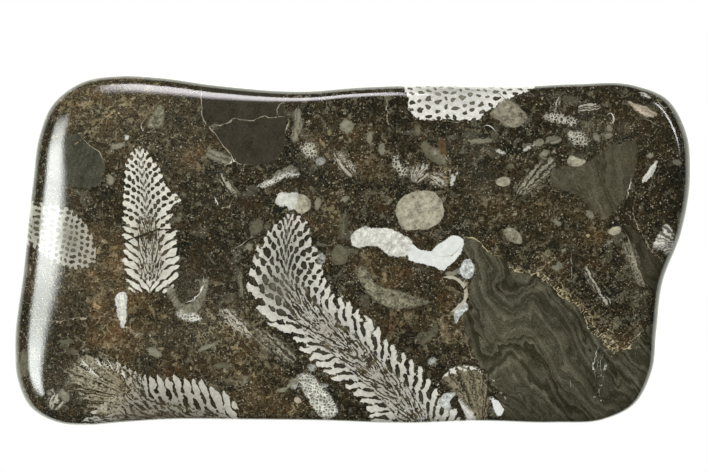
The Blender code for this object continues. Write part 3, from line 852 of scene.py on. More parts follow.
# tint, half-width in mm, how ragged, points
STROKES = (
    ("tan", 0.16, 0.3, ((-34, 38), (-34.3, 33), (-34, 30.5), (-33, 29), (-31.5, 27.3), (-30, 25),
                        (-28, 22.8), (-27.2, 21.5), (-26.8, 20.8), (-25.8, 20.1), (-23, 20))),
    ("tan", 0.16, 0.4, ((-32.5, 28.9), (-28.5, 29.3), (-27, 30.4), (-25, 30.1), (-21.5, 30.3),
                        (-20, 31.1), (-18.5, 30.6), (-16, 31), (-14.9, 30.7))),
    ("grey", 0.2, 0.3, ((-17, 31.2), (-17, 32.3), (-16.3, 33.7), (-15.2, 34.3))),
    ("white", 0.35, 0.8, ((-28.2, 20), (-27, 20.8), (-26.2, 20.2))),
    ("tan", 0.16, 0.3, ((-62.3, 26.5), (-61, 25), (-59.5, 23.8), (-57.6, 22.5), (-57, 20.3))),
    ("gold", 0.22, 0.9, ((-59.6, 27.6), (-57, 30), (-54.2, 32.8), (-51, 34.6), (-48.5, 36))),
    ("white", 0.14, 0.3, ((-45.3, 28.2), (-46.3, 27.3), (-47.8, 27.5), (-48.2, 28.8), (-47.3, 30.2))),
    ("beige", 0.15, 0.7, ((-45, 27.3), (-43.3, 27), (-42.3, 26.2), (-40.4, 26.4), (-39.3, 27.4))),
    ("dark", 0.42, 0.3, ((-53, 2), (-50.5, 2.8), (-47, 4), (-44.5, 4.8), (-41.5, 5), (-39.5, 5.2))),
    ("ring", 0.62, 0.1, ((20.8, -5.7), (23.5, -5.9), (25.4, -7.2), (26.3, -9), (26, -11), (24.6, -12.7),
                         (22.6, -13.8))),
    ("beige", 0.3, 0.4, ((26.6, -6.2), (26.4, -8), (26.9, -9.5))),
    ("white", 0.18, 0.15, ((30.2, 28.7), (31.2, 29), (32.3, 28.4), (33.2, 27.3))),
    ("grey", 0.12, 0.2, ((22.5, 29.9), (24, 29.6), (25.5, 29.9))),
    ("dark", 0.14, 0.3, ((33.2, 37.5), (34.4, 36), (35.6, 34.6), (36.6, 33.6))),
    ("dark", 0.2, 0.6, ((17.3, 26), (18.3, 24.6), (19.2, 23.3))),
    ("grey", 0.14, 0.2, ((21.2, 22.4), (22.3, 20.8))),
    ("glint", 0.13, 0.55, ((25.6, 3.2), (28, 3.4), (30, 1.8), (31.6, 0), (33, -0.8), (34.6, -0.6))),
    ("glint", 0.14, 0.6, ((35.2, -2.4), (37, -3.8), (40, -4.9), (42.6, -5.4), (44.5, -6.7), (46.5, -8.2),
                          (48.2, -10.2), (51.5, -11.8), (52.6, -13.8), (53.9, -15.6), (54.4, -17.5),
                          (56.6, -19), (58.4, -21.2), (59.6, -22.6), (62.2, -22.1), (64.2, -20.9),
                          (65.6, -19.9))),
    ("tan", 0.2, 0.7, ((65.5, -19.8), (65.7, -18.6), (66.8, -17.8))),
    ("tan", 0.18, 0.8, ((56, -19), (58.6, -20.2), (60, -20.6), (62.4, -20.6), (64, -20.2))),
    ("tan", 0.13, 0.6, ((64.7, 12), (64.4, 9), (65.4, 6.4), (67.4, 2.6), (68.7, 0.2), (71, -1.4),
                        (71.8, -2.4))),
    ("white", 0.14, 0.7, ((62.8, 12.6), (63.4, 14.6), (64.1, 17.4))),
    ("grey", 0.2, 0.5, ((62.7, 4.5), (63.7, 2.2), (64.5, 0.2))),
    ("grey", 0.1, 0.7, ((50.4, 0), (50.5, -4), (50.3, -8.6))),
    ("beige", 0.12, 0.5, ((67, 30.6), (68.4, 30), (69.8, 29.2))),
    ("grey", 0.22, 0.2, ((70.2, 35.8), (71, 34), (71.8, 33.3), (73.2, 33.9))),
    ("tan", 0.16, 0.9, ((-70, -16), (-67, -16.1), (-64.6, -15.6), (-61, -15.2), (-58, -15.4))),
    ("grey", 0.16, 0.6, ((-50.2, -19.6), (-49, -19), (-47.6, -18.9))),
    ("white", 0.3, 0.5, ((-31.4, 12.6), (-30.8, 11.2), (-30.2, 10.3))),
    ("beige", 0.2, 0.5, ((-30.4, 10.4), (-29.2, 10), (-27.8, 10.7), (-26.9, 12.3))),
    ("tan", 0.14, 0.8, ((-27.6, 9.4), (-26.4, 8), (-25, 7), (-24.2, 6.5))),
    ("grey", 0.14, 0.5, ((-28, -0.2), (-25.6, 1.4), (-23, 3.2))),
    ("grey", 0.13, 0.6, ((-27, -1.6), (-24.8, 0))),
    ("white", 0.2, 0.6, ((-33.6, -5.8), (-34.2, -8.6), (-36, -11), (-38.4, -12))),
    ("beige", 0.3, 0.5, ((-60.3, -24.5), (-59.7, -25.3), (-59.1, -26.2))),
    ("white", 0.3, 0.4, ((-58.7, -24.6), (-58, -25.8), (-57, -27))),
    ("white", 0.35, 0.4, ((-56.2, -24.7), (-55.6, -26), (-54.6, -27.8))),
    ("grey", 0.2, 0.6, ((-20.2, -18), (-21, -19), (-20.6, -20.4))),
    ("tan", 0.1, 0.9, ((26, -17.6), (26.6, -20), (27.4, -23), (29, -25.4), (30.6, -27.6))),
    ("beige", 0.13, 0.4, ((20.3, -0.9), (22.2, -1.0), (23.8, -0.2), (24.9, 1.1), (25.3, 2.3))),
    ("white", 0.1, 0.9, ((55.8, -20.8), (56.3, -23), (55.6, -25.6), (56, -28.4))),
    ("white", 0.1, 0.9, ((57.4, -23.6), (57, -26), (57.6, -29))),
    ("white", 0.1, 0.9, ((58.6, -25.6), (57.9, -27.2))),
    ("white", 0.12, 0.5, ((50.2, -29.2), (50.3, -30.8))),
    ("beige", 0.16, 0.7, ((8.3, 35), (8.3, 32), (8.8, 29), (9.6, 28.4))),
    ("beige", 0.25, 0.6, ((-15.1, 27), (-14.6, 29), (-13.8, 30))),
    ("glint", 0.12, 0.7, ((38, -3.2), (41, -4.2), (44, -5), (46.6, -7), (49, -9), (52, -10.8),
                          (53.8, -13))),
    ("glint", 0.12, 0.7, ((53, -11.8), (54.6, -14.4), (55.6, -16.8), (58, -18.8), (60, -19.8),
                          (63, -20.6), (66.5, -18))),
    ("glint", 0.13, 0.7, ((57, -20.2), (59.4, -21.6), (61.4, -21.9), (63.6, -21.8))),
    ("white", 0.75, 0.9, ((20.8, -29.5), (21.4, -28.4), (22.6, -27.4), (25, -26.4), (27.6, -26.5),
                          (30, -27.8))),
    ("white", 0.25, 0.3, ((58.4, 31.4), (59.2, 31.8), (59.9, 31), (59.8, 29.8), (59.2, 29.2))),
    ("white", 0.25, 0.6, ((-62.4, -24.6), (-60, -27.2), (-57.4, -29.6))),
    ("grey", 0.2, 0.6, ((-64.2, -25.2), (-61.4, -28), (-58.8, -30))),
    ("beige", 0.2, 0.7, ((-66, -27.6), (-62.6, -29.6), (-59.4, -31))),
    ("white", 0.3, 0.5, ((-53.8, -25.4), (-53, -27), (-51.8, -29.4))),
    ("grey", 0.2, 0.7, ((-58.4, -36), (-56, -34.8), (-53.6, -33.8), (-51.6, -33.6))),
    ("grey", 0.2, 0.7, ((-59.4, -37.6), (-56.6, -36.4), (-54, -35.2))),
    ("dark", 0.16, 0.3, ((8.2, -32.2), (10, -31.6), (11.6, -31.2), (13, -30.4))),
)
print("strokes:", len(STROKES))

# %% Stroke measures
STROKE_STEPS = 5
STROKE_MARGIN = 0.85  # how far from a stroke its offset is kept, in mm
STROKE_SHARE = 0.6  # the fraying widens a stroke, so it starts narrower
STROKE_DEPTH = 9  # strokes end this far down, in mm
TAPER, PAST_END = 2.0, -3  # it narrows over its last 2 mm, and past its end on to below nothing
line_edge = np.full(n_points, FAR)
line_place, line_tint = np.zeros((n_points, 3)), np.zeros((n_points, 4))
line_place[:, 1] = -1.0


def put_stroke(tint, half_width, ragged, stroke):
    """Writes a stroke's signed offset, its half-width, tapering to its ends, and how ragged it is, where it
    is the nearest one."""
    line = smooth_line(stroke, STROKE_STEPS, closed=False)
    near = near_outline(line, FRAGMENT_LEAN) & (deep < STROKE_DEPTH)
    run_along, offset, length = beside_line(x[near] + FRAGMENT_LEAN[0] * deep[near],
                                            y[near] + FRAGMENT_LEAN[1] * deep[near], line)
    from_end = np.minimum(run_along, length - run_along) / min(TAPER, length / 3)
    width = STROKE_SHARE * half_width * np.clip(from_end, PAST_END, 1)
    gap = np.abs(offset) - width
    closer, here = claim(line_edge, near, gap, STROKE_MARGIN)
    line_place[here] = np.column_stack([offset, width, np.full(gap.shape, ragged)])[closer]
    line_tint[here] = linear(STROKE_TINTS[tint])


for stroke in STROKES:
    put_stroke(*stroke)
print("points beside strokes:", int((line_edge < FAR).sum()))

# %% [markdown]
# ## Moods of the ground mass
# The limestone between the fossils is not one colour. Iron stained it rusty in some places, other places
# stayed dark and fine, and golden grains gather along the seams. Soft round patches of four moods carry
# that.

# %% Soft patches
# x, y, radius, then how rusty, dark, golden and pale
MOODS = (
    (-57, 0, 5, 1.0, 0, 0.1, 0.15), (-57, -10, 6, 1.0, 0, 0.1, 0.1), (-49, -14, 5, 0.9, 0.3, 0.1, 0),
    (-56, -19, 5, 0.9, 0, 0.2, 0), (-33, -16, 5, 0.2, 0, 0.3, 0.5), (-54, -30.5, 4.5, 1.0, 0.1, 0.3, 0),
    (-60, 33, 7, 0.7, 0, 0.35, 0.3), (-36, 22, 3.5, 0.8, 0, 0.2, 0.1), (-5, 9, 4, 0.7, 0, 0.4, 0.2),
    (-6, 25, 4, 0.5, 0, 0.2, 0), (5, -3, 4, 0.6, 0.1, 0.2, 0), (10, -6, 4, 0.6, 0.1, 0.2, 0),
    (22, -17, 4.5, 0.6, 0, 0.6, 0.1), (43, -2.5, 3.5, 0.3, 0, 0.7, 0.1), (48, -8.4, 2.5, 0.3, 0, 0.8, 0),
    (60, -20.6, 3.2, 0.5, 0, 1.0, 0), (54, -15.5, 2, 0.3, 0, 0.8, 0), (51, -12, 2, 0.3, 0, 0.8, 0),
    (55, 4.5, 3.5, 0.7, 0.1, 0.3, 0), (-13, -36, 2.5, 0.6, 0, 0.6, 0), (-26, -17, 4, 0.4, 0, 0.4, 0.1),
    (20, 17.5, 3, 0.4, 0, 0.6, 0), (-26, -25, 6, 0.6, 0, 0.3, 0), (-20, -34, 5, 0.6, 0.2, 0.2, 0),
    (10, -15, 4, 0.7, 0.2, 0.2, 0), (1.5, 27.5, 2.5, 0.7, 0, 0.2, 0), (5, 20, 5, 0.4, 0, 0.2, 0),
    (45, 10, 6, 0.25, 0.1, 0.1, 0), (32, 10, 5, 0.3, 0.2, 0.2, 0), (-64, -9, 6, 0, 0.5, 0, 0.2),
    (-70, -22, 6, 0, 0.5, 0, 0.1), (-52, 31, 6, 0.15, 0.4, 0, 0.2), (-38, 32, 6, 0.1, 0.35, 0, 0.3),
    (-33, 8, 5, 0, 0.5, 0, 0.1), (-30, -4, 6, 0, 0.6, 0, 0.1), (-28, -21, 3, 0, 0.7, 0, 0),
    (42, 34, 5, 0, 0.5, 0, 0), (36, 25, 5, 0, 0.4, 0, 0), (64, 14, 5, 0.1, 0.3, 0, 0),
    (71, 14, 5, 0, 0.6, 0, 0), (13, -19.5, 3.5, 0, 1.0, 0, 0), (56, -9, 4, 0, 0.5, 0, 0),
    (8, 32, 6, 0, 0.7, 0, 0), (20, -27, 3.5, 0.1, 0.8, 0, 0), (1, -36, 4, 0, 1.0, 0, 0),
    (-50, 22, 3, 0.3, 0.4, 0.1, 0), (62, 31, 6, 0.2, 0.3, 0, 0), (54, 28, 4, 0, 0, 0, 0.7),
    (62, 26.5, 4, 0, 0, 0, 0.5), (27, 24, 4, 0, 0.1, 0, 0.4), (26, -14, 2, 0, 0, 0, 0.8),
    (30, 16, 3, 0, 0, 0, 0.6), (-45, -20, 4, 0.1, 0, 0, 0.5), (-66, -31, 5, 0, 0.1, 0, 0.7),
    (-8, 22, 4, 0, 0, 0, 0.5), (22, -9.8, 3.4, 0.6, 0.5, 0, 0), (-42, -26, 4.5, 0.6, 0.7, 0, 0),
    (-63, -17, 3.5, 0, 0.7, 0, 0), (-45, -15, 4, 0.5, 0.5, 0, 0), (65, -4, 3, 0.1, 0, 0, 0.6),
    (-38, -8, 4, 0.1, 0, 0, 0.6), (-25, -10, 5, 0.2, 0.2, 0, 0.2), (-60, -2, 10, 0.25, 0, 0.15, 0.15),
    (-52, 33, 10, 0.3, 0, 0.3, 0.3), (-33, -18, 6, 0.2, 0, 0.3, 0.4), (-52, -19, 8, 0.2, 0, 0.3, 0.1),
    (-38, 22, 8, 0.1, 0, 0.1, 0.2),
)
mood = np.zeros((n_points, 4))
for middle_x, middle_y, radius, *amounts in MOODS:
    mood += soft_patch(middle_x, middle_y, radius, deep)[:, None] * np.array(amounts)
mood = np.clip(mood, 0, 1)
print("mood averages:", np.round(mood.mean(axis=0), 3))

# %% Everything measured goes onto the mesh
SAWN_BELOW, POLISHED_ABOVE = 0.05, 1.2  # heights in mm
polish = ramp(points[:, 2], SAWN_BELOW, POLISHED_ABOVE)


def keep(name, values):
    """Stores one value, vector or colour for each point of the skin."""
    kind = {1: "FLOAT", 3: "FLOAT_VECTOR", 4: "FLOAT_COLOR"}[1 if values.ndim == 1 else values.shape[1]]
    field = {"FLOAT": "value", "FLOAT_VECTOR": "vector", "FLOAT_COLOR": "color"}[kind]
    attribute = mesh.attributes.new(name, kind, "POINT")
    attribute.data.foreach_set(field, values.astype(np.float32).ravel())


MEASURES = {
    "coral_place": coral_place, "coral_style": coral_style, "coral_wall": coral_wall,
    "coral_rise": coral_rise, "coral_tint": coral_tint, "coral_pore": coral_pore,
    "mud_layer": np.where(mud_edge[:, None] < FAR, mud_layer, (FAR, 0, 0)), "mud_tint": mud_tint,
    "lump": lump, "lump_look": lump_look, "lump_tint": lump_tint,
    "line_place": line_place, "line_tint": line_tint, "mood": mood, "polish": polish,
}
for name, values in MEASURES.items():
    keep(name, values)
print("attributes:", len(mesh.attributes))

# %% [markdown]
# ## The material: polished coral limestone
# Limestone is calcite with mud and iron in it. Polished, it has the gloss of a hard wax and its colours
# deepen, as if wet. One node tree draws it from the ground mass up: grain and specks first, then
# mudstone, corals, fragments and veins. Every pattern is in millimetres in the stone, so it runs on over
# the rolled edge and down the wall.

# %% One helper that adds a node
stone = bpy.data.materials.new("polished_coral_limestone")
stone.use_nodes = True
tree = stone.node_tree
tree.nodes.clear()


def live(sockets, key):
    """The socket with this name or number among those in use."""
    used = [socket for socket in sockets if not socket.is_unavailable]
    return used[key] if isinstance(key, int) else next(socket for socket in used if socket.name == key)


def add(kind, *values, named=None, **settings):
    """Adds a node and its settings, then fills its sockets in order. A node or socket is linked, a hex colour
    is made linear and None is left alone. A MapRange's numbers are From Min, From Max, To Min and To Max."""
    node = tree.nodes.new("ShaderNode" + kind)
    for name, value in settings.items():
        setattr(node, name, value)
    for key, value in list(enumerate(values)) + list((named or {}).items()):
        if value is None:
            continue
        socket = live(node.inputs, key)
        if isinstance(value, str):
            value = linear(value)
        if isinstance(value, bpy.types.Node):
            value = live(value.outputs, 0)
        if isinstance(value, bpy.types.NodeSocket):
            tree.links.new(value, socket)
        else:
            socket.default_value = value
    return node


def stops(node, *pairs):
    """Sets a colour ramp's stops from (place, hex colour) pairs."""
    elements = node.color_ramp.elements
    while len(elements) < len(pairs):
        elements.new(0.5)
    for element, (place, colour) in zip(elements, pairs):
        element.position, element.color = place, linear(colour)
    return node


# The place in the stone, in millimetres.
in_stone = add("Mapping", add("TexCoord").outputs["Object"], named={"Scale": (1000, 1000, 1000)})
print("place in the stone ready")

# %% [markdown]
# ### Ground mass
# Seen close, the ground mass is a crush of shell bits in dark lime mud. A noise could only give soft
# clouds, so the bits are laid as bits: space is parted into cells, and some cells hold one oval, turned
# own point. Two sizes of oval, a net of golden veins, three sizes of speck and a few bright hairs, which are
# shells cut edge on, make the crush.

# %% Dark lime mud
# In the stone a noise's Scale is how many of its clouds lie in a millimetre. Patches of mud are 4 mm wide,
# the crush half a millimetre and the fine crush under 0.3 mm, the finest that the picture can show.
bend = add("TexNoise", in_stone, named={"Scale": 0.35, "Detail": 3.0, "Roughness": 0.55})
bent = add("VectorMath", bend.outputs["Color"], (4.0, 4.0, 4.0), in_stone, operation="MULTIPLY_ADD")
crush = add("TexNoise", in_stone, named={"Scale": 2.1, "Detail": 4.5, "Roughness": 0.75, "Distortion": 0.5})
patches = add("TexNoise", in_stone, named={"Scale": 0.24, "Detail": 4.0, "Roughness": 0.65})
ground = stops(add("ValToRGB", patches), (0.36, "#2A2C23"), (0.46, "#383425"), (0.55, "#423C2B"),
               (0.66, "#4A3D2A"))
fine_crush = add("TexNoise", in_stone, named={"Scale": 3.6, "Detail": 2.5, "Roughness": 0.8})
crush_tone = add("Math", add("MapRange", crush, 0.33, 0.67, 0.05, 1.8),
                 add("MapRange", fine_crush, 0.3, 0.7, 0.35, 1.65), operation="MULTIPLY")
ground = add("VectorMath", ground, add("CombineXYZ", crush_tone, crush_tone, crush_tone),
             operation="MULTIPLY")
print("nodes for the mud:", len(tree.nodes))

# %% Bits of shell
BIT_TINTS = ((0.0, "#26241A"), (0.18, "#3A3C34"), (0.36, "#6B6858"), (0.55, "#7A7A6C"), (0.72, "#8F8A76"),
             (0.88, "#5E503C"), (1.0, "#A9A592"))
STRIPES_PER_MM = 2.4
STRIPES_APART = 40.0  # so that each oval has stripes of its own


def bit_layer(under, spacing, long, wide, share, strength):
    """Lays ovals over a colour, one for a share of the cells: half-lengths long and wide in mm, turned by
    chance, with stripes along them and an edge that the crush eats into."""
    cells = add("TexVoronoi", bent, named={"Scale": 1 / spacing, "Randomness": 1.0}, feature="F1")
    chance = add("SeparateColor", cells.outputs["Color"])
    away = add("VectorMath", bent, cells.outputs["Position"], operation="SUBTRACT")
    angle = add("Math", chance, 2 * math.pi, operation="MULTIPLY")
    turned = add("VectorRotate", away, named={"Angle": angle}, rotation_type="Z_AXIS")
    oval = add("VectorMath", turned, (1 / long, 1 / wide, 1 / wide), operation="MULTIPLY")
    size = add("VectorMath", oval, operation="LENGTH").outputs["Value"]
    eaten = add("MapRange", crush, 0.3, 0.7, 0.55, -0.55)
    cover = add("MapRange", add("Math", size, eaten, operation="ADD"), 1.12, 0.8)
    stripe_place = add("Math", add("SeparateXYZ", turned).outputs["Y"], STRIPES_PER_MM,
                       add("Math", chance, STRIPES_APART, operation="MULTIPLY"), operation="MULTIPLY_ADD")
    stripes = add("TexNoise", named={"W": stripe_place, "Scale": 1.0, "Detail": 1.0}, noise_dimensions="1D")
    tone = add("Math", add("MapRange", stripes, 0.35, 0.65, 0.6, 1.35),
               add("MapRange", crush, 0.3, 0.7, 0.6, 1.4), operation="MULTIPLY")
    tint = add("Mix", 1.0, stops(add("ValToRGB", chance.outputs[2]), *BIT_TINTS),
               add("CombineColor", tone, tone, tone), data_type="RGBA", blend_type="MULTIPLY")
    present = add("MapRange", chance.outputs[1], share, share - 0.25, 0.0, strength)
    return add("Mix", add("Math", cover, present, operation="MULTIPLY"), under, tint, data_type="RGBA")


ground = bit_layer(ground, 4.6, 2.3, 1.0, 0.75, 0.6)
ground = bit_layer(ground, 1.9, 0.95, 0.5, 0.85, 0.85)
print("nodes with the bits:", len(tree.nodes))

# %% Moods over the ground mass
# Each gain is what a full mood multiplies red, green and blue by.
RUST_GAIN, DARK_GAIN = (2.5, 1.95, 1.5, 1.0), (0.5, 0.51, 0.5, 1.0)
DARK_SHARE, GRAIN_SHARE, PALE_SHARE = 0.75, 0.35, 0.75
mood_node = add("Attribute", attribute_name="mood")
mood_parts = add("SeparateColor", mood_node.outputs["Color"])
stain = add("TexNoise", in_stone, named={"Scale": 0.2, "Detail": 4.0, "Roughness": 0.65})
rust = add("Math", add("MapRange", stain, 0.5, 0.75, 0.0, 0.15), mood_parts.outputs[0], operation="ADD",
           use_clamp=True)
ground = add("Mix", rust, ground, RUST_GAIN, data_type="RGBA", blend_type="MULTIPLY")
ground = add("Mix", add("Math", mood_parts.outputs[1], DARK_SHARE, operation="MULTIPLY"), ground, DARK_GAIN,
             data_type="RGBA", blend_type="MULTIPLY")
grain = add("TexNoise", in_stone, named={"Scale": 3.0, "Detail": 3.0, "Roughness": 0.8})
gold = add("Math", add("MapRange", grain, 0.53, 0.6), mood_parts.outputs[2], operation="MULTIPLY")
ground = add("Mix", add("Math", gold, GRAIN_SHARE, operation="MULTIPLY"), ground, "#A28B62",
             data_type="RGBA")
print("nodes after the golden grains:", len(tree.nodes))

# %% Golden seams and pale places
# The seams are a broken net of thin veins, in cells of about 2.4 mm; the bend makes them wander.
vein_net = add("TexVoronoi", bent, named={"Scale": 0.42, "Randomness": 1.0}, feature="DISTANCE_TO_EDGE")
vein_broken = add("MapRange", add("TexNoise", in_stone, named={"Scale": 0.9, "Detail": 2.0}), 0.46, 0.54)
vein_line = add("Math", add("MapRange", vein_net, 0.075, 0.025), vein_broken, operation="MULTIPLY")
veined = add("Math", vein_line, mood_parts.outputs[2], operation="MULTIPLY")
ground = add("Mix", veined, ground, "#E8DBB4", data_type="RGBA")
pale = add("Math", add("MapRange", grain, 0.5, 0.6), mood_node.outputs["Alpha"], operation="MULTIPLY")
ground = add("Mix", add("Math", pale, PALE_SHARE, operation="MULTIPLY"), ground, "#A5A391", data_type="RGBA")
print("nodes after the moods:", len(tree.nodes))

# %% Hairs
# A hair is a contour line of a noise: the noise's scale, the line's width in the noise's height, its colour.
HAIRS = ((0.3, 0.011, "#ABA58E"), (0.75, 0.022, "#A2957A"))
for scale, width, colour in HAIRS:
    contour = add("TexNoise", in_stone, named={"Scale": scale, "Detail": 2.5, "Roughness": 0.5})
    off_line = add("Math", add("Math", contour, 0.5, operation="SUBTRACT"), operation="ABSOLUTE")
    mask = add("MapRange", add("TexNoise", in_stone, named={"Scale": 1.5 * scale, "Detail": 1.0}),
               0.54, 0.6, 0.0, 0.75)
    on_line = add("MapRange", off_line, width, width / 4)
    ground = add("Mix", add("Math", on_line, mask, operation="MULTIPLY"), ground, colour, data_type="RGBA")
print("nodes after the hairs:", len(tree.nodes))

# %% Specks
# spacing of the cells and radius of the speck in mm, and the share of the cells that hold one
SPECKS = ((0.42, 0.13, 0.23), (0.9, 0.19, 0.1), (1.9, 0.32, 0.05))
GROUND_GAIN = (0.60, 0.588, 0.53, 1.0)
SPECK_TINTS = ((0.0, "#7A7562"), (0.35, "#A39D89"), (0.6, "#C6C0AB"), (0.8, "#E4DECB"), (0.92, "#B59C70"),
               (1.0, "#94774C"))
swarm = add("MapRange", add("TexNoise", in_stone, named={"Scale": 0.3, "Detail": 3.0, "Roughness": 0.6}),
            0.35, 0.65, -0.2, 0.22)
gnawed = add("MapRange", fine_crush, 0.3, 0.7, -0.28, 0.28)
for spacing, radius, share in SPECKS:
    cells = add("TexVoronoi", in_stone, named={"Scale": 1 / spacing, "Randomness": 1.0}, feature="F1")
    chance = add("SeparateColor", cells.outputs["Color"])
    near_speck = add("MapRange", add("Math", cells, gnawed, operation="ADD"), radius / spacing * 1.2,
                     radius / spacing * 0.6)
    wanted = add("Math", mood_parts.outputs[1], -0.14, add("Math", swarm, share, operation="ADD"),
                 operation="MULTIPLY_ADD")
    present = add("MapRange", add("Math", chance, wanted, operation="SUBTRACT"), 0.02, -0.02)
    ground = add("Mix", add("Math", near_speck, present, operation="MULTIPLY"), ground,
                 stops(add("ValToRGB", chance.outputs[1]), *SPECK_TINTS), data_type="RGBA")
ground = add("Mix", 1.0, ground, GROUND_GAIN, data_type="RGBA", blend_type="MULTIPLY")
print("nodes after the ground mass:", len(tree.nodes))

# %% [markdown]
# ### Mudstone
# The layers were mud of slightly different greys. A one-dimensional noise read along the layer number
# gives bands of uneven width, as real laminae have, and a gentle noise added to the number makes them
# waver. Broad soft bands, bands of a millimetre or two and fine laminae are three such noises; the finest
# come and go.

# %% Mud layers as bands of light and dark
# Along the flow the waver's clouds are 11 mm long, across it 4 mm. A one-dimensional noise's Scale is the
# bands to a millimetre across the layers.
FLOW_SIZE = (11.0, 4.0, 8.0)
mud_node = add("Attribute", attribute_name="mud_layer")
mud_parts = add("SeparateXYZ", mud_node.outputs["Vector"])
down_flow = add("Mapping", in_stone, named={"Rotation": (0, 0, -layer_turn), "Scale": FLOW_SIZE},
                vector_type="TEXTURE")
waver = add("TexNoise", down_flow, named={"Scale": 1.0, "Detail": 3.5, "Roughness": 0.55})
crumple = add("TexNoise", down_flow, named={"Scale": 2.6, "Detail": 2.0})
crumpled = add("Math", crumple, 2.0, mud_parts.outputs[1], operation="MULTIPLY_ADD")
layer_number = add("Math", waver, 8.0, crumpled, operation="MULTIPLY_ADD")
broad = add("TexNoise", named={"W": layer_number, "Scale": 0.28, "Detail": 1.0}, noise_dimensions="1D")
middle = add("TexNoise", named={"W": layer_number, "Scale": 0.8, "Detail": 1.5, "Roughness": 0.5},
             noise_dimensions="1D")
laminae = add("TexNoise", named={"W": layer_number, "Scale": 3.4, "Detail": 1.5}, noise_dimensions="1D")
wisps = add("TexNoise", down_flow, named={"Scale": 2.2, "Detail": 3.0, "Roughness": 0.6})
come_and_go = add("MapRange", wisps, 0.38, 0.62)
band_tone = add("Math", add("MapRange", middle, 0.36, 0.64, -0.42, 0.74),
                add("MapRange", wisps, 0.3, 0.7, 0.4, 1.3), add("MapRange", broad, 0.36, 0.64, -0.3, 0.4),
                operation="MULTIPLY_ADD")
band_tone = add("Math", add("MapRange", laminae, 0.3, 0.7, -0.35, 0.45), come_and_go, band_tone,
                operation="MULTIPLY_ADD")
DARKEST_BAND = 0.48
band_shown = add("Math", add("Math", band_tone, mud_parts.outputs[2], 1.0, operation="MULTIPLY_ADD"),
                 DARKEST_BAND, operation="MAXIMUM")
print("nodes for the layers:", len(tree.nodes))

# %% Mud colour and ragged edge
mud_grain = add("MapRange", add("TexNoise", in_stone, named={"Scale": 2.8, "Detail": 3.0, "Roughness": 0.75}),
                0.3, 0.7, 0.6, 1.45)
cloud = add("MapRange", add("TexNoise", in_stone, named={"Scale": 0.35, "Detail": 4.0, "Roughness": 0.65}),
            0.3, 0.7, 0.72, 1.25)
mud_tone = add("Math", add("Math", mud_grain, cloud, operation="MULTIPLY"), band_shown, operation="MULTIPLY")
# Pale layers are greyer and dark ones browner, so the blue rises faster than the rest.
mud_blue = add("Math", mud_tone, 1.2, -0.2, operation="MULTIPLY_ADD")
mud = add("VectorMath", add("Attribute", attribute_name="mud_tint").outputs["Color"],
          add("CombineXYZ", mud_tone, mud_tone, mud_blue), operation="MULTIPLY")
ragged_edge = add("TexNoise", in_stone, named={"Scale": 1.1, "Detail": 3.0, "Roughness": 0.6})
mud_edge_here = add("Math", add("MapRange", ragged_edge, 0.3, 0.7, -0.5, 0.5), mud_parts.outputs[0],
                    operation="ADD")
body = add("Mix", add("MapRange", mud_edge_here, 0.2, -0.2), ground, mud, data_type="RGBA")
print("nodes after the mudstone:", len(tree.nodes))

# %% [markdown]
# ### Coral
# A tube's path is known by where it left the axis: its run along the axis less its climb, and the climb
# grows with the fourth root of the squared distance out. That number and the distance out are a flat map
# of the tubes. On it each tube is a column one unit wide, cut into slots that start at a chance height,
# with an oval hole in each slot.

# %% Which tube, and how far out
CORE_SOFTNESS = 0.0006  # rounds the tubes' bend at the axis
TUBE_WANDER = 1.2  # in tubes
place = add("SeparateXYZ", add("Attribute", attribute_name="coral_place").outputs["Vector"])
style_node = add("Attribute", attribute_name="coral_style")
style = add("SeparateColor", style_node.outputs["Color"])
walls_node = add("Attribute", attribute_name="coral_wall")
walls = add("SeparateColor", walls_node.outputs["Color"])
wobble = add("SeparateColor", add("TexNoise", in_stone, named={"Scale": 0.4, "Detail": 2.0}).outputs["Color"])
squared = add("Math", place.outputs[2], place.outputs[2], CORE_SOFTNESS, operation="MULTIPLY_ADD")
climb = add("Math", squared, 0.25, operation="POWER")
tube = add("Math", add("Math", climb, style, operation="MULTIPLY"), -1.0, place, operation="MULTIPLY_ADD")
tube = add("Math", wobble.outputs[0], TUBE_WANDER, tube, operation="MULTIPLY_ADD")
root_out = add("Math", place.outputs[2], climb, operation="DIVIDE")
out = add("Math", root_out, style.outputs[1], place.outputs[1], operation="MULTIPLY_ADD")
# Slots lengthen outwards: the place out is pressed together by 1 / (1 + press * place).
press = add("Math", add("Math", out, operation="ABSOLUTE"), style_node.outputs["Alpha"], 1.0,
            operation="MULTIPLY_ADD")
out = add("Math", out, press, operation="DIVIDE")
# In the open tip slots are also counted along the axis, outwards on both sides.
outwards = add("Math", root_out, climb, operation="DIVIDE")
out = add("Math", add("Attribute", attribute_name="coral_rise").outputs["Fac"], outwards, out,
          operation="MULTIPLY_ADD")
print("nodes for the tubes:", len(tree.nodes))

# %% Slots and their pores
column = add("Math", tube, operation="FLOOR")
across = add("Math", add("Math", tube, operation="FRACT"), 0.5, operation="SUBTRACT")
start = add("TexWhiteNoise", named={"W": column}, noise_dimensions="1D")
row_place = add("Math", add("Math", start, out, operation="ADD"), wobble.outputs[1], operation="ADD")
row = add("Math", row_place, operation="FLOOR")
lengthwise = add("Math", add("Math", row_place, operation="FRACT"), 0.5, operation="SUBTRACT")
slot_noise = add("TexWhiteNoise", add("CombineXYZ", column, row), noise_dimensions="2D")
chance = add("SeparateColor", slot_noise.outputs["Color"])
hole_size = add("Math", style.outputs[2], add("MapRange", chance, 0.0, 1.0, 0.8, 1.15),
                operation="MULTIPLY")
off_middle = add("Math", add("MapRange", chance.outputs[1], 0.0, 1.0, -0.08, 0.08), across, operation="ADD")
oval = add("VectorMath", add("CombineXYZ", off_middle, lengthwise),
           add("CombineXYZ", hole_size, walls_node.outputs["Alpha"], 1.0), operation="DIVIDE")
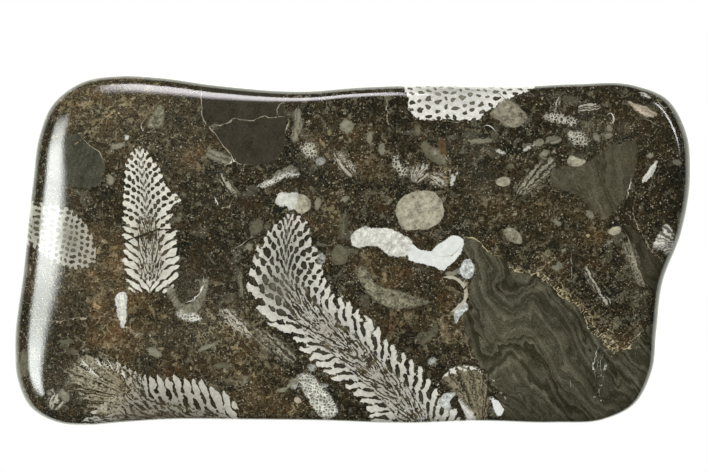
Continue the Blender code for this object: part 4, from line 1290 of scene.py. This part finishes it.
rough_rim = add("MapRange", add("TexNoise", in_stone, named={"Scale": 1.6, "Detail": 2.0}),
                0.3, 0.7, -0.2, 0.2)
oval_size = add("Math", add("VectorMath", oval, operation="LENGTH").outputs["Value"], rough_rim,
                operation="ADD")
outer_pore = add("MapRange", oval_size, 1.06, 0.94)
print("nodes for the slots:", len(tree.nodes))

# %% The fine core
# Here the tubes run almost with the axis, so their number grows sideways and falls slowly along it.
FINE_TUBES = 23.0  # fine tubes from the axis to the side of the branch
FINE_WANDER, FINE_FALL, FINE_RUN = 3.5, -1.3, 0.8
fine_break = add("TexNoise", in_stone, named={"Scale": 1.7, "Detail": 3.0})
fine_side = add("Math", add("Math", place.outputs[2], operation="ABSOLUTE"), FINE_TUBES,
                operation="MULTIPLY")
fine_side = add("Math", wobble.outputs[2], FINE_WANDER, fine_side, operation="MULTIPLY_ADD")
fine_number = add("Math", place.outputs[0], FINE_FALL, fine_side, operation="MULTIPLY_ADD")
fine_run = add("Math", place.outputs[0], FINE_RUN, operation="MULTIPLY")
fine = add("TexNoise", add("CombineXYZ", fine_number, fine_run, walls.outputs[2]),
           named={"Scale": 1.0, "Detail": 1.0})
fine_level = add("Math", add("MapRange", fine_break, 0.3, 0.7, -0.11, 0.11), fine, operation="ADD")
inner_pore = add("MapRange", fine_level, 0.46, 0.52)
core_here = add("MapRange", add("Math", fine_break, walls.outputs[2], operation="ADD"), 0.85, 1.15)
pore = add("Mix", core_here, outer_pore, inner_pore)
print("nodes for the core:", len(tree.nodes))

# %% The coral's margin
# Between tubes, half a unit off the middle, a tooth of bone reaches the margin; over the middle it is cut in.
ridge = add("Math", add("Math", across, operation="ABSOLUTE"), -2.0, 1.0, operation="MULTIPLY_ADD")
leaf = add("Math", add("Math", ridge, 5.0, operation="POWER"), 0.65,
           add("Math", ridge, 0.35, operation="MULTIPLY"), operation="MULTIPLY_ADD")
tooth_number = add("Math", add("Math", tube, 0.5, operation="ADD"), operation="FLOOR")
blunt = add("Math", add("TexWhiteNoise", named={"W": tooth_number}, noise_dimensions="1D"), 0.22,
            operation="MULTIPLY")
tooth = add("Math", leaf, add("MapRange", start, 0.0, 1.0, 0.6, 1.1), blunt, operation="MULTIPLY_ADD")
notch = add("Math", tooth, walls.outputs[1], operation="MULTIPLY")
bone_depth = add("Math", add("Math", walls, notch, operation="SUBTRACT"),
                 add("MapRange", rough_rim, -0.2, 0.2, -0.25, 0.25), operation="ADD")
covered = add("MapRange", bone_depth, -0.06, 0.1)
print("nodes for the margin:", len(tree.nodes))

# %% Bone and what fills its pores
bone_grain = add("MapRange", add("TexNoise", in_stone, named={"Scale": 1.3, "Detail": 4.0, "Roughness": 0.7}),
                 0.3, 0.7, 0.7, 1.1)
bone_tone = add("Math", bone_grain, add("MapRange", walls, 1.5, 6.5, 1.0, 0.7), operation="MULTIPLY")
bone = add("Mix", 1.0, add("Attribute", attribute_name="coral_tint").outputs["Color"],
           add("CombineColor", bone_tone, bone_tone, bone_tone), data_type="RGBA", blend_type="MULTIPLY")
fill_tone = add("Math", add("MapRange", chance.outputs[2], 0.0, 1.0, 0.65, 1.35),
                add("MapRange", oval_size, 0.9, 0.3, 0.6, 1.3), operation="MULTIPLY")
fill = add("Mix", 1.0, add("Attribute", attribute_name="coral_pore").outputs["Color"],
           add("CombineColor", fill_tone, fill_tone, fill_tone), data_type="RGBA", blend_type="MULTIPLY")
core_fill = stops(add("ValToRGB", add("TexNoise", in_stone, named={"Scale": 0.5, "Detail": 3.0})),
                  (0.35, "#2E2A1E"), (0.5, "#433C2A"), (0.65, "#5E553F"))
fill = add("Mix", core_here, fill, core_fill, data_type="RGBA")
mud_filled = add("MapRange", walls, 3.4, 1.6)
fill = add("Mix", add("Math", mud_filled, 0.8, operation="MULTIPLY"), fill, body, data_type="RGBA")
coral = add("Mix", pore, bone, fill, data_type="RGBA")
body = add("Mix", covered, body, coral, data_type="RGBA")
print("nodes after the corals:", len(tree.nodes))

# %% [markdown]
# ### Fragments and strokes
# A fragment is its tint with its mottle, its ribs or net where it has them and a ragged edge. An open one
# is eaten away between its ribs, so the ground shows through; a closed one has a thin dark line round it,
# where mud seeped in. A stroke is a tint where the offset is under the half-width, frayed and beaded by a
# noise.

# %% Ribs and nets
lump_parts = add("SeparateXYZ", add("Attribute", attribute_name="lump").outputs["Vector"])
lump_look = add("SeparateXYZ", add("Attribute", attribute_name="lump_look").outputs["Vector"])
ribbed, netted, opened = (lump_look.outputs[k] for k in range(3))
fine_noise = add("TexNoise", in_stone, named={"Scale": 2.0, "Detail": 3.5, "Roughness": 0.75})
fine_grain = add("MapRange", fine_noise, 0.3, 0.7, -0.5, 0.5)
soft_noise = add("TexNoise", in_stone, named={"Scale": 0.8, "Detail": 2.0})
soft_grain = add("MapRange", soft_noise, 0.3, 0.7, -0.5, 0.5)
rib_number = add("Math", soft_grain, 1.1, lump_parts.outputs[1], operation="MULTIPLY_ADD")
rib_noise = add("TexNoise", named={"W": rib_number, "Scale": 1.0, "Detail": 1.0}, noise_dimensions="1D")
rib_here = add("MapRange", add("Math", fine_grain, 0.16, rib_noise, operation="MULTIPLY_ADD"), 0.43, 0.55)
net_cells = add("TexVoronoi", in_stone, named={"Scale": 1.45, "Randomness": 0.95},
                feature="DISTANCE_TO_EDGE")
net_here = add("MapRange", net_cells, 0.2, 0.1)
off_rib = add("Math", add("Math", 1.0, rib_here, operation="SUBTRACT"), ribbed, operation="MULTIPLY")
between = add("Math", add("Math", 1.0, net_here, operation="SUBTRACT"), netted, off_rib,
              operation="MULTIPLY_ADD", use_clamp=True)
print("nodes for ribs and nets:", len(tree.nodes))

# %% Fragment colour and edge
lump_tone = add("Math", add("Math", fine_grain, soft_grain, operation="ADD"), lump_parts.outputs[2], 1.0,
                operation="MULTIPLY_ADD")
lump_tone = add("Math", lump_tone, add("Math", between, -0.72, 1.0, operation="MULTIPLY_ADD"),
                operation="MULTIPLY")
lump_body = add("Mix", 1.0, add("Attribute", attribute_name="lump_tint").outputs["Color"],
                add("CombineColor", lump_tone, lump_tone, lump_tone), data_type="RGBA",
                blend_type="MULTIPLY")
solid_here = add("MapRange", add("Math", fine_grain, -0.7, between, operation="MULTIPLY_ADD"), 0.62, 0.3)
kept = add("Mix", opened, 1.0, solid_here)
edge_play = add("Math", opened, 0.9, 0.35, operation="MULTIPLY_ADD")
lump_side = add("Math", add("Math", fine_grain, soft_grain, operation="ADD"), edge_play, lump_parts,
                operation="MULTIPLY_ADD")
softness = add("Math", opened, 0.22, 0.07, operation="MULTIPLY_ADD")
lump_cover = add("MapRange", add("Math", lump_side, softness, operation="DIVIDE"), 1.0, -1.0)
lump_line = add("MapRange", add("Math", lump_side, operation="ABSOLUTE"), 0.25, 0.08)
lump_line = add("Math", lump_line, add("Math", opened, -0.45, 0.45, operation="MULTIPLY_ADD"),
                operation="MULTIPLY")
body = add("Mix", lump_line, body, "#26231A", data_type="RGBA")
body = add("Mix", add("Math", lump_cover, kept, operation="MULTIPLY"), body, lump_body, data_type="RGBA")
print("nodes after the fragments:", len(tree.nodes))

# %% Strokes
WANDER = 0.95  # how far a ragged stroke strays, in mm
line_parts = add("SeparateXYZ", add("Attribute", attribute_name="line_place").outputs["Vector"])
ragged = line_parts.outputs[2]
wander = add("Math", add("Math", soft_grain, WANDER, operation="MULTIPLY"), ragged, line_parts,
             operation="MULTIPLY_ADD")
beads = add("MapRange", add("TexNoise", in_stone, named={"Scale": 0.8, "Detail": 3.0, "Roughness": 0.6}),
            0.4, 0.6, -1.7, 0.9)
frayed = add("Math", add("Math", beads, ragged, 1.0, operation="MULTIPLY_ADD"), line_parts.outputs[1],
             operation="MULTIPLY")
frayed = add("Math", frayed, add("Math", wander, operation="ABSOLUTE"), operation="SUBTRACT")
body = add("Mix", add("MapRange", frayed, -0.05, 0.06), body,
           add("Attribute", attribute_name="line_tint").outputs["Color"], data_type="RGBA")
print("nodes after the strokes:", len(tree.nodes))

# %% [markdown]
# ### Gloss
# The face and the rolled edge were taken through finer and finer grits and buffed, so they mirror a lamp
# with only a faint haze. The back was left as the saw cut it: paler, dull and faintly ridged.

# %% Polished and sawn
SAW_RIDGE = 0.9  # mm between saw marks; a real blade leaves them finer than the render can show
SAWN_PALER, SAWN_ROUGHNESS = 0.45, 0.62
HAZE = (0.09, 0.15)  # the polish's roughness, clearest and haziest
polished = add("Attribute", attribute_name="polish").outputs["Fac"]
dry = add("Mix", SAWN_PALER, body, "#8D8878", data_type="RGBA")
body = add("Mix", polished, dry, body, data_type="RGBA")
haze = add("MapRange", add("TexNoise", in_stone, named={"Scale": 1.2, "Detail": 4.0}), 0.3, 0.7, *HAZE)
roughness = add("Mix", polished, SAWN_ROUGHNESS, haze)
print("nodes for the gloss:", len(tree.nodes))

# %% Ripple, and the finished surface
# A wave texture has 20 / (2 pi) bands to a unit, hence the 0.31. The ripple is a tenth of a millimetre deep.
CALCITE_IOR = 1.62
RIPPLE_STRENGTH, RIPPLE_DEPTH = 0.25, 0.00012
sawn = add("TexWave", in_stone, named={"Scale": 0.31 / SAW_RIDGE, "Distortion": 1.2, "Detail": 2.0},
           wave_type="BANDS", bands_direction="X")
ridges = add("Math", add("Math", 1.0, polished, operation="SUBTRACT"), sawn, operation="MULTIPLY")
ripple = add("Math", add("TexNoise", in_stone, named={"Scale": 0.12, "Detail": 1.0}), 1.6, ridges,
             operation="MULTIPLY_ADD")
grains = add("TexNoise", in_stone, named={"Scale": 2.3, "Detail": 2.0})
ripple = add("Math", grains, 0.6, ripple, operation="MULTIPLY_ADD")
bump = add("Bump", named={"Strength": RIPPLE_STRENGTH, "Distance": RIPPLE_DEPTH, "Height": ripple})
surface = add("BsdfPrincipled", named={"Base Color": body, "Roughness": roughness, "IOR": CALCITE_IOR,
                                       "Normal": bump})
add("OutputMaterial", surface)
mesh.materials.append(stone)
print("nodes in the stone:", len(tree.nodes))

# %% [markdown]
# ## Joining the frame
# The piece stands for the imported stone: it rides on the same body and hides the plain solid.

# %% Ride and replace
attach(plate, "root")
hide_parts("coral_plate")
print("pieces joined to the frame: 1")

# %% [markdown]
# ## Studio
# A polished stone shows its room. The table is a glowing white sheet, which leaves no shadow, and only a
# narrow band of it round the plate shows in the polish, as the thin pale line along the steep edge. A
# tall soft panel on the left lies along the rolled edge as a white bar, a small near one behind makes the
# line at the top and a low one the arc at the right-hand corner. The stone's colours come from a broad
# lamp that is kept out of the mirror. Straight overhead stays dark, or the flat face would mirror it and
# turn grey.

# %% A glowing sheet
def glow(name, strength, colour="#FFFFFF", fades=()):
    """A glowing material. A fade is an axis of the sheet, where the glow is full and where it ends."""
    material = bpy.data.materials.new(name)
    material.use_nodes = True
    nodes, links = material.node_tree.nodes, material.node_tree.links
    nodes.clear()
    emission, output = nodes.new("ShaderNodeEmission"), nodes.new("ShaderNodeOutputMaterial")
    emission.inputs["Color"].default_value = linear(colour)
    emission.inputs["Strength"].default_value = strength
    links.new(emission.outputs[0], output.inputs["Surface"])
    if fades:
        place, split = nodes.new("ShaderNodeTexCoord"), nodes.new("ShaderNodeSeparateXYZ")
        links.new(place.outputs["Object"], split.inputs[0])
        level = None
        for axis, full, end in fades:
            fade = nodes.new("ShaderNodeMapRange")
            fade.interpolation_type = "SMOOTHSTEP"
            links.new(split.outputs[axis], fade.inputs["Value"])
            for key, value in (("From Min", end), ("From Max", full), ("To Min", 0.0)):
                fade.inputs[key].default_value = value
            if level is None:
                fade.inputs["To Max"].default_value = strength
            else:
                links.new(level, fade.inputs["To Max"])
            level = fade.outputs["Result"]
        links.new(level, emission.inputs["Strength"])
    return material


def sheet_of(name, wide, tall, material):
    """A flat rectangle with the given material, linked into the scene."""
    flat = bpy.data.meshes.new(name)
    right, up = wide / 2, tall / 2
    flat.from_pydata([(-right, -up, 0), (right, -up, 0), (right, up, 0), (-right, up, 0)], [], [(0, 1, 2, 3)])
    flat.materials.append(material)
    thing = bpy.data.objects.new(name, flat)
    bpy.context.scene.collection.objects.link(thing)
    return thing


def mirror_only(thing):
    """Makes a sheet visible to the polish alone."""
    thing.visible_diffuse = thing.visible_camera = thing.visible_shadow = False


print("glow and sheet makers ready")

# %% The table
# The table, a hair under the plate, is lit for the camera and the dull back. A band of it round the plate is
# there for the polish alone, which can't see the rest. Lengths are in metres from here on.
TABLE_DROP, BAND_DROP = 0.0002, 0.0005
BAND_LEFT, BAND_RIGHT, BAND_FRONT, BAND_BEHIND = 0.06, 0.10, 0.015, 0.022
FADE_FROM_RIGHT, FADE_FROM_LEFT = 0.012, 0.008  # how far from the plate the band starts to fade
table = sheet_of("table", 3.0, 3.0, glow("glowing_white_table", 1.0))
table.location.z = -TABLE_DROP
table.visible_glossy = False
(low_x, low_y, _), (high_x, high_y, _) = cad_box
band_middle = (BAND_RIGHT - BAND_LEFT) / 2
band_glow = glow("bright_table_band", 1.9, "#FBFFF4",
                 (("X", high_x - band_middle + FADE_FROM_RIGHT, high_x - band_middle + BAND_RIGHT),
                  ("X", low_x - band_middle - FADE_FROM_LEFT, low_x - band_middle - BAND_LEFT)))
band = sheet_of("table_band", high_x - low_x + BAND_LEFT + BAND_RIGHT,
                high_y - low_y + BAND_FRONT + BAND_BEHIND, band_glow)
band.location = (band_middle, (BAND_BEHIND - BAND_FRONT) / 2, -BAND_DROP)
mirror_only(band)
print("table band:", [round(size, 3) for size in band.dimensions[:2]], "m")

# %% Panels that the polish mirrors
def face_plate(thing, azimuth, elevation, distance):
    """Puts a sheet or lamp at an azimuth from +X and an elevation, in degrees, facing the plate."""
    turn, lift = math.radians(azimuth), math.radians(elevation)
    flat = distance * math.cos(lift)
    thing.location = (flat * math.cos(turn), flat * math.sin(turn), distance * math.sin(lift))
    thing.rotation_euler = (math.pi / 2 - lift, 0, turn + math.pi / 2)


# name, width and height in metres, strength, colour, azimuth, elevation, distance, fades
PANELS = (
    ("left_panel", 0.95, 0.80, 16.5, "#FAFFFB", 178, 40, 1.0,
     (("Y", 0.12, 0.37), ("Y", -0.17, -0.38), ("X", 0.14, -0.37), ("X", 0.14, 0.34))),
    ("corner_panel", 0.95, 0.09, 16.0, "#FFFFFF", 27, 26, 1.0, (("X", -0.05, -0.45),)),
    ("back_panel", 0.14, 0.20, 11.5, "#FFFAFF", 105, 32, 0.3, (("Y", -0.02, 0.10), ("X", 0.005, 0.066))),
)
for name, wide, tall, strength, colour, azimuth, elevation, distance, fades in PANELS:
    panel = sheet_of(name, wide, tall, glow(name + "_glow", strength, colour, fades))
    face_plate(panel, azimuth, elevation, distance)
    mirror_only(panel)
print("panels:", len(PANELS))

# %% Broad lamp and dim room
LAMP_SIZE, LAMP_WATTS, ROOM_LIGHT = 1.2, 22.5, 0.05
world = bpy.data.worlds.new("dim_room")
world.use_nodes = True
world.node_tree.nodes["Background"].inputs["Color"].default_value = (1, 1, 1, 1)
world.node_tree.nodes["Background"].inputs["Strength"].default_value = ROOM_LIGHT
bpy.context.scene.world = world

light = bpy.data.lights.new("broad_lamp", "AREA")
light.shape = "RECTANGLE"
light.size = light.size_y = LAMP_SIZE
light.energy = LAMP_WATTS
lamp = bpy.data.objects.new("broad_lamp", light)
face_plate(lamp, 150, 62, 1.3)
lamp.visible_glossy = False
bpy.context.scene.collection.objects.link(lamp)
print("lamp at", [round(place, 2) for place in lamp.location], "m")

# %% [markdown]
# ## Camera
# The photograph was taken from straight above with a long lens, a little to the right and back of the middle,
# which is why the right and far walls show as thin lines.

# %% Camera
FRAME_WIDE_MM = 162.6
CAMERA_DISTANCE = 1.2
TIP_RIGHT, TIP_BACK = 4.0, 2.5
AIM_X, AIM_Y, AIM_Z = 0.32, 3.4, 9.0  # where it looks, in mm
camera_data = bpy.data.cameras.new("camera")
camera = bpy.data.objects.new("camera", camera_data)
aim = np.array((AIM_X - centre[0], AIM_Y - centre[1], AIM_Z)) * MM
back_axis = np.array((math.tan(math.radians(TIP_RIGHT)), math.tan(math.radians(TIP_BACK)), 1.0))
back_axis /= np.linalg.norm(back_axis)
camera.location = aim + back_axis * CAMERA_DISTANCE
right_axis = np.cross((0, 1, 0), back_axis)
right_axis /= np.linalg.norm(right_axis)
up_axis = np.cross(back_axis, right_axis)
camera_turn = np.column_stack([right_axis, up_axis, back_axis])
camera.rotation_mode = "QUATERNION"
camera.rotation_quaternion = Matrix(camera_turn.tolist()).to_quaternion()
camera_data.sensor_width = 36.0
camera_data.lens = camera_data.sensor_width * CAMERA_DISTANCE / (FRAME_WIDE_MM * MM)
camera_data.clip_end = 10.0
bpy.context.scene.collection.objects.link(camera)
bpy.context.scene.camera = camera
bpy.context.scene.view_settings.view_transform = "Standard"
print("lens:", round(camera_data.lens, 1), "mm")
